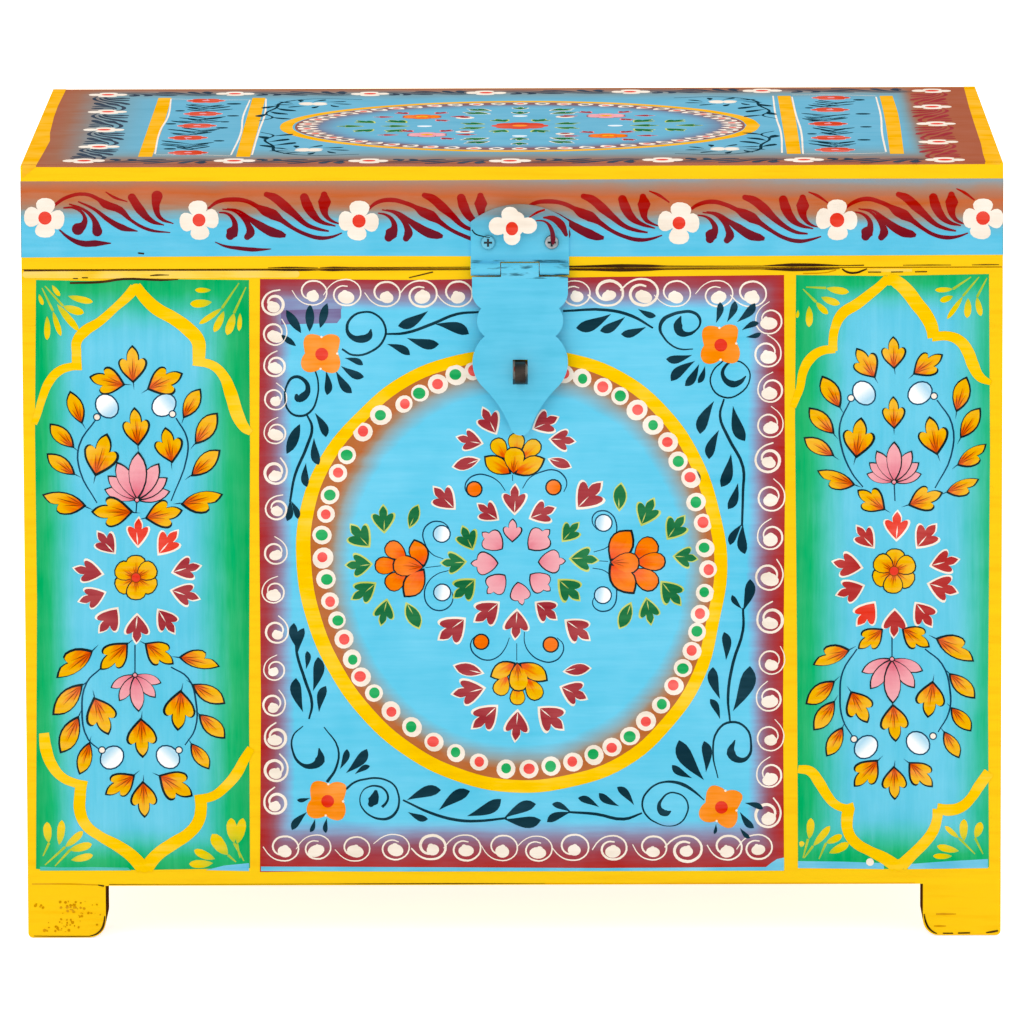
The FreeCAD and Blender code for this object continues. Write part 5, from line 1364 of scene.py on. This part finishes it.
# Edges of the painting, in mm from the middle of the lid: half its width, and its front and back.
LID_HALF, LID_FRONT, LID_BACK = 249.6, -174.6, 174.6
lid_colours = defaultdict(list)
lid_colours["ground"].append(straight([
    (-247, LID_FRONT), (247, LID_FRONT), (247, 172), (80, 172.5), (-100, 172), (-247, 172.5)]))
EDGES = {
    "left": ((65, 92), (58, 106), (54, 117), (50, 133), (50, 141), (44, 152), (37, 164)),
    "right": ((964, 88), (969, 107), (974, 123), (981, 144), (983, 154), (985.6, 162))}
LAPPED_EDGES = {
    "left": ((22.5, 178), (27, 174), (36, 167)),
    "right": ((985, 164), (992, 164.4), (1000, 164.6))}
STRIPES = (((165, 98), (157, 123), (145, 157)), ((259, 98), (251, 128), (243, 157)),
           ((784, 96), (788, 116), (794, 154)), ((886, 96), (891, 114), (897, 154)))
WAVES = (((171, 99), (168, 117), (160, 131), (155, 154)), ((250, 100), (243, 117), (241, 133), (231, 155)),
         ((266, 99), (265, 114), (259, 131), (252, 155)), ((773, 96), (776, 117), (781, 133), (782, 153)),
         ((792, 97), (796, 115), (801, 131), (803, 154)), ((876, 97), (881, 117), (882, 133), (886, 152)),
         ((171, 99), (210, 100), (250, 100)), ((155, 155), (195, 155), (231, 156)),
         ((792, 95), (835, 95), (876, 96)), ((803, 154), (845, 154), (886, 153)))
for line in STRIPES:
    stroke(lid_colours["lid_yellow"], [lid_spot(*p) for p in line], (7.0, 7.6, 7.2), 4)
for line in WAVES:
    stroke(lid_colours["white"], [lid_spot(*p) for p in line], (0.8, 1.1, 0.9))

# Sprays of the border are lower than those of the rails by this.
BORDER_LOW = 0.8
BORDER_FLOWERS = {
    "left": ((84, 161), (99, 147), (104, 130), (108, 112), (108, 95)),
    "right": ((945, 160), (939, 142), (937, 124), (932, 107), (932, 91)),
    "front": ((84, 161), (234, 161), (369, 161), (510, 161), (662, 160), (804, 160), (945, 160)),
    "back": ((108, 95), (235, 94), (370, 94), (486, 93), (630, 92), (762, 91), (932, 91))}
for edge, colour, out in (("left", "slate", 1), ("right", "maroon", -1), ("front", "slate", 1),
                          ("back", "slate", -1)):
    flowers = [lid_spot(*p) for p in BORDER_FLOWERS[edge]]
    for flower in flowers[1:-1] if edge in ("front", "back") else flowers:
        four_petals(lid_colours, flower, RAIL_FLOWER_REACH, 0.0)
    for start, stop in zip(flowers, flowers[1:]):
        def border_place(along, below, start=start, stop=stop, out=out):
            """A place in pixels along the line from one flower to the next, on the lid."""
            ahead = Vector((stop[0] - start[0], stop[1] - start[1])).normalized() * PIXEL_WIDE
            return (start[0] + ahead.x * along - ahead.y * below * out * BORDER_LOW,
                    start[1] + ahead.y * along + ahead.x * below * out * BORDER_LOW)

        gap = math.dist(start, stop) / PIXEL_WIDE / SPRAY_LENGTH
        spray(lid_colours[colour], SPRAY, gap, border_place)

RED_FLOWERS = (((206, 101), (203, 114), (197, 126), (188, 138), (188, 153)),
               ((831, 98), (830, 110), (828, 124), (831, 138), (835, 150)))
BAND_DOTS = ((180, 111), (233, 116), (171, 124), (225, 122), (222, 128), (170, 149), (219, 141), (234, 104),
             (859, 100), (863, 114), (809, 108), (814, 121), (866, 127), (812, 134), (864, 140))
for flowers in RED_FLOWERS:
    middles = [lid_spot(*p) for p in flowers]
    for middle in middles:
        for index in range(6):
            tip = around(middle, 10.5, index * math.pi / 3 + 0.5)
            outlined(lid_colours, "coral", "rose", round_petal, middle, tip, 1.05, 0.012 * (index % 2))
        dot(lid_colours["rose"], middle, 2.0, 0.16)
    for start, stop in zip(middles, middles[1:]):
        for index in range(9):
            side = 1 if index % 2 else -1
            foot = between(start, stop, 0.42 + 0.055 * index, side * rng.uniform(0.02, 0.1))
            tip = (foot[0] + side * rng.uniform(10, 17), foot[1] + rng.uniform(9, 17))
            stamp(lid_colours["navy"], comma, foot, tip, 0.5 * side, -0.012 * (index % 4))
for place in BAND_DOTS:
    dot(lid_colours["navy"], lid_spot(*place), rng.uniform(2.4, 3.4), -0.03, rng.uniform(0.9, 1.2))

# Corners of the field round the medallion: a white flower in a whorl of navy strokes, with a leafy stem.
CORNER_STEM = ((-26, -20), (0, -24), (16, -8), (19, 18), (24, 46), (20, 66), (27, 80))
CORNER_LEAVES = ((19, 20, 8, 34), (22, 36, 12, 50), (23, 46, 27, 62), (21, 62, 10, 72), (18, 8, 26, 22))
for across, down, side in ((313, 104, -1), (309, 150, -1), (723, 102, 1), (725, 149, 1)):
    middle = lid_spot(across, down)
    end = 1 if down < 126 else -1

    def corner_place(x, y, middle=middle, side=side, end=end):
        """A place in mm from the flower's middle, outward and towards the lid's own middle, on the lid."""
        return middle[0] + side * x, middle[1] - end * y

    four_petals(lid_colours, middle, 8.5, math.pi / 4, heart=None)
    for index in range(9):
        angle = index * 0.7
        stamp(lid_colours["navy"], comma, around(middle, 11, angle), around(middle, 21, angle + 0.3), 1.0)
    stroke(lid_colours["navy"], [corner_place(*p) for p in CORNER_STEM], (1.0, 1.8, 1.4, 1.0))
    for x, y, tip_x, tip_y in CORNER_LEAVES:
        stamp(lid_colours["navy"], comma, corner_place(x, y), corner_place(tip_x, tip_y), 1.1)

LID_MIDDLE = (3.7, -7.0)


def oval(across, along, angle):
    """A place on an oval about the middle of the lid's medallion."""
    return LID_MIDDLE[0] + across * math.cos(angle), LID_MIDDLE[1] + along * math.sin(angle)


lid_colours["disc"].append(film_shape([oval(118, 109, a * math.pi / 8) for a in range(16)], 5))
stroke(lid_colours["lid_yellow"], [oval(122.5, 114, a * math.pi / 12) for a in range(25)],
       (7.0, 6.6, 7.2), 6)
for index in range(60):
    angle = index * math.pi / 30
    stamp(lid_colours["white"], plain_petal, oval(105, 97, angle), oval(117.5, 109, angle), 0.95)
    dot(lid_colours["red" if index % 2 else "slate"], oval(112, 103.5, angle), 2.1, 0.04)
for index in range(8):
    angle = index * math.pi / 4
    outlined(lid_colours, "coral", "red", round_petal, LID_MIDDLE, oval(15, 15, angle), 0.95,
             0.03 * (index % 2))
    outlined(lid_colours, "green", "lime", ivy, oval(20, 20, angle + 0.39), oval(34, 34, angle + 0.39), 0.85)
dot(lid_colours["orange"], LID_MIDDLE, 4.0, 0.16)
LID_FLOWERS = ((422, 117, "orange_lotus"), (427, 135, "rose"), (606, 116, "rose"),
               (608, 136, "orange_lotus"))
for across, down, fill in LID_FLOWERS:
    middle = lid_spot(across, down)
    for index in range(6):
        angle = index * math.pi / 3
        tip = around(middle, 11, angle)
        outlined(lid_colours, fill, "maroon", round_petal, middle, tip, 1.1, 0.03 * (index % 2))
        if index != 3:
            base, tip = around(middle, 15, angle + 0.5), around(middle, 26, angle + 0.5)
            outlined(lid_colours, "maroon", "rose", ivy, base, tip, 0.8)
    dot(lid_colours["gold"], middle, 3.2, 0.14)
for across, down in ((465, 118), (465, 132), (565, 117), (565, 134)):
    dot(lid_colours["white"], lid_spot(across, down), 5.0)
    dot(lid_colours["maroon"], lid_spot(across, down - 0.4), 2.6, 0.05)
# The cross's four arms of leaves: how far out each leaf begins, its turn from the arm, and its length.
LID_OVAL = 0.92
LID_ARM = ((58, 0.0, 15), (62, 0.26, 14), (62, -0.26, 14), (78, 0.2, 13), (78, -0.2, 13), (82, 0.0, 14))
for turn, rim in ((0.0, "lime"), (math.pi, "lime"), (math.pi / 2, "white"), (-math.pi / 2, "white")):
    for away, spread, length in LID_ARM:
        base = oval(away, away * LID_OVAL, turn + spread)
        tip = oval(away + length, (away + length) * LID_OVAL, turn + spread * 1.6)
        outlined(lid_colours, "green", rim, ivy, base, tip, 0.8)
    dot(lid_colours["bud"], oval(50, 46, turn), 4.0)


def lid_ring_fade(material, place):
    """A fade from 0 at the rim of the lid's medallion to 1 at 30 mm inside it."""
    stretch = 1.08
    middle = (LID_MIDDLE[0] * MM, (LID_MIDDLE[1] * MM + SIDE_MIDDLE) * stretch, 0.0)
    flat = add_node(material, "VectorMath", {0: place, 1: (1.0, stretch, 0.0)}, operation="MULTIPLY")
    away = add_node(material, "VectorMath", {
        0: flat.outputs["Vector"], 1: middle}, operation="DISTANCE")
    return add_node(material, "MapRange", {
        "Value": away.outputs["Value"], "From Min": 0.118, "From Max": 0.088}).outputs[0]


lid_disc = enamel("lid_medallion_ground_enamel", (
    (0.0, "#96605A"), (0.3, "#8A6A70"), (0.46, "#7890AA"), (0.7, "#72AAC6"), (1.0, "#70B6D2")),
    lid_ring_fade, 0.1)
lay_colours("lid_top", lid_colours, LID, "lid", {"ground": lid_ground, "disc": lid_disc})
# The painting laps over the top panel's front edge, and the yellow of its ends does too.
LID_EDGE = face((0.0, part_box("lid_top_panel")[0].y, 0.0), (1, 0, 0), (0, 0, 1))
LID_TOP_MM = LID_TOP * METRE
END_TOP, END_LAP_TOP = 0.18, 0.12
LAPPED_FRONT = ((36, 167), (120, 167.2), (270, 167), (390, 166.4), (520, 166.6), (650, 165.6), (770, 165.2),
                (880, 164.6), (985, 164))
lapped = [spot(*p) for p in LAPPED_FRONT]
lapped += [(lapped[-1][0], LID_TOP_MM), (lapped[0][0], LID_TOP_MM)]
lay("lid_top_front_edge_painting", [straight(lapped)], LID_EDGE, GROUND_TOP, lid_ground, "lid")
for edge, side in (("left", -1), ("right", 1)):
    inner = [lid_spot(*p) for p in EDGES[edge]]
    corners = [(inner[-1][0], LID_FRONT), (LID_HALF * side, LID_FRONT), (LID_HALF * side, LID_BACK),
               (inner[0][0], LID_BACK)]
    lay("lid_top_" + edge + "_edge_painting", [straight(inner + corners)], LID, END_TOP,
        PAINTS["lid_yellow"], "lid")
    lap = [spot(*p) for p in LAPPED_EDGES[edge]]
    lap += [(lap[-1][0], LID_TOP_MM), (lap[0][0], LID_TOP_MM)]
    lay("lid_top_" + edge + "_lap_painting", [straight(lap)], LID_EDGE, END_LAP_TOP,
        PAINTS["lid_yellow"], "lid")


# Hasp: a sheet steel plate screwed to the lid's front rail and a flap on a rolled hinge, painted with the
# trunk: the rail's ground, its middle flower and the first strokes of its spray run over the plate.
HASP_BROWN, HASP_BLUE = 0.381, 0.362
# In metres: half of the strip of grime and painted shade along the pin, and the depths where the painted
# shade in a screw's slot begins and is full.
GRIME_AND_SHADE_HALF = 0.0045
SLOT_SHADE_START, SLOT_SHADE_FULL = 0.0003, 0.0007


def hasp_fade(material, place):
    """A fade from 0 at the top of the plate to 1 where the rail's turquoise begins."""
    height = add_node(material, "SeparateXYZ", {"Vector": place}).outputs["Z"]
    return add_node(material, "MapRange", {
        "Value": height, "From Min": HASP_BROWN, "From Max": HASP_BLUE}).outputs[0]


hasp_paint = enamel("turquoise_enamel_on_steel", (
    (0.0, "#9A8A78"), (0.3, "#909CA0"), (0.55, "#66BAD6"), (1.0, "#64C8E8")), hasp_fade, 0.3, 0.4)
hasp_place = add_node(hasp_paint, "TexCoord").outputs["Object"]
pin_height = (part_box("hasp_pin")[0].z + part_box("hasp_pin")[1].z) / 2
hasp_height = add_node(hasp_paint, "SeparateXYZ", {"Vector": hasp_place}).outputs["Z"]
# A dark strip along the pin: grime, and painted shade in the creases of the knuckles.
from_pin = add_node(hasp_paint, "Math", {0: hasp_height, 1: pin_height, 2: GRIME_AND_SHADE_HALF},
                    operation="COMPARE")
rubbed = add_node(hasp_paint, "TexNoise", {
    "Vector": add_node(hasp_paint, "Mapping", {
        "Vector": hasp_place, "Scale": (90.0, 300.0, 420.0)}).outputs["Vector"],
    "Scale": 1.0, "Detail": 4.0})
grime_and_shade_patches = add_node(hasp_paint, "MapRange", {
    "Value": rubbed.outputs["Fac"], "From Min": 0.54, "From Max": 0.66, "To Max": 0.75})
grime_and_shade_at_pin = add_node(hasp_paint, "Math", {0: from_pin.outputs[0], 1: grime_and_shade_patches.outputs[0]}, operation="MULTIPLY")
cover(hasp_paint, grime_and_shade_at_pin.outputs[0], ((0.3, "#14303C"), (0.7, "#2C5868")))
finish(hasp_paint, "hasp_plate", "hasp_flap")
screw_metal = sheet_metal("zinc_screws_one_painted_over", "#7C8488", "#C6CCCE", 0.36, 1.0)
screw_place = add_node(screw_metal, "SeparateXYZ", {
    "Vector": add_node(screw_metal, "TexCoord").outputs["Object"]})
painted_over = add_node(screw_metal, "Math", {0: screw_place.outputs["X"], 1: 0.0},
                        operation="LESS_THAN").outputs[0]
cover(screw_metal, painted_over, ((0.3, "#5CB8D6"), (0.5, "#6CC4DE"), (0.7, "#84D0E6")))
screw_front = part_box("hasp_screws")[0].y
# Painted shade: the screw heads darken with depth below their face, in the slots and round their rims.
sunk_shade = add_node(screw_metal, "MapRange", {
    "Value": screw_place.outputs["Y"], "From Min": screw_front + SLOT_SHADE_START,
    "From Max": screw_front + SLOT_SHADE_FULL})
cover(screw_metal, sunk_shade.outputs[0], ((0.3, "#101C22"), (0.7, "#2A3A40")))
unpainted = add_node(screw_metal, "Math", {0: 1.0, 1: painted_over}, operation="SUBTRACT")
screw_surface = screw_metal.node_tree.nodes["Principled BSDF"]
screw_metal.node_tree.links.new(unpainted.outputs[0], screw_surface.inputs["Metallic"])
finish(screw_metal, "hasp_screws")
PLATE = face((0.0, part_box("hasp_plate")[0].y, 0.0), (1, 0, 0), (0, 0, 1))
plate_colours = defaultdict(list)
PLATE_FLOWER = ((510, 213, 4.0, 1.1), (516, 217, 3.6, 1.2), (498, 224.5, 4.6, 1.02), (528, 224, 4.2, 1.1),
                (512, 235, 4.4, 0.98), (512, 226, 5.0, 1.2))
PLATE_SPRAY = (
    ((529, 216, 1.2), (537, 211, 2.5), (545, 208, 2)),
    ((536, 219, 1.2), (545, 220, 2), (551, 227, 4), (553, 237, 5), (553, 243, 2)),
    ((543, 216, 1.5), (553, 217, 6), (561, 223, 8), (566, 233, 4)))
for index, (x, y, reach, squash) in enumerate(PLATE_FLOWER):
    dot(plate_colours["white"], spot(x, y), reach, 0.011 * index, squash)
dot(plate_colours["red"], spot(512, 227), 3.5, 0.1, 0.9)
for line in PLATE_SPRAY:
    brush(plate_colours["crimson"], spot, line)
brush(plate_colours["ink"], spot, ((472, 228, 1.2), (475, 232, 1.4), (482, 234.5, 1.2), (490, 236, 0.8)))
lay_colours("hasp_plate", plate_colours, PLATE, "lid")


size = [[list(corner) for corner in cad_box], [list(corner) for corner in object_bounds()]]
{"cad": size[0], "visual": size[1]}
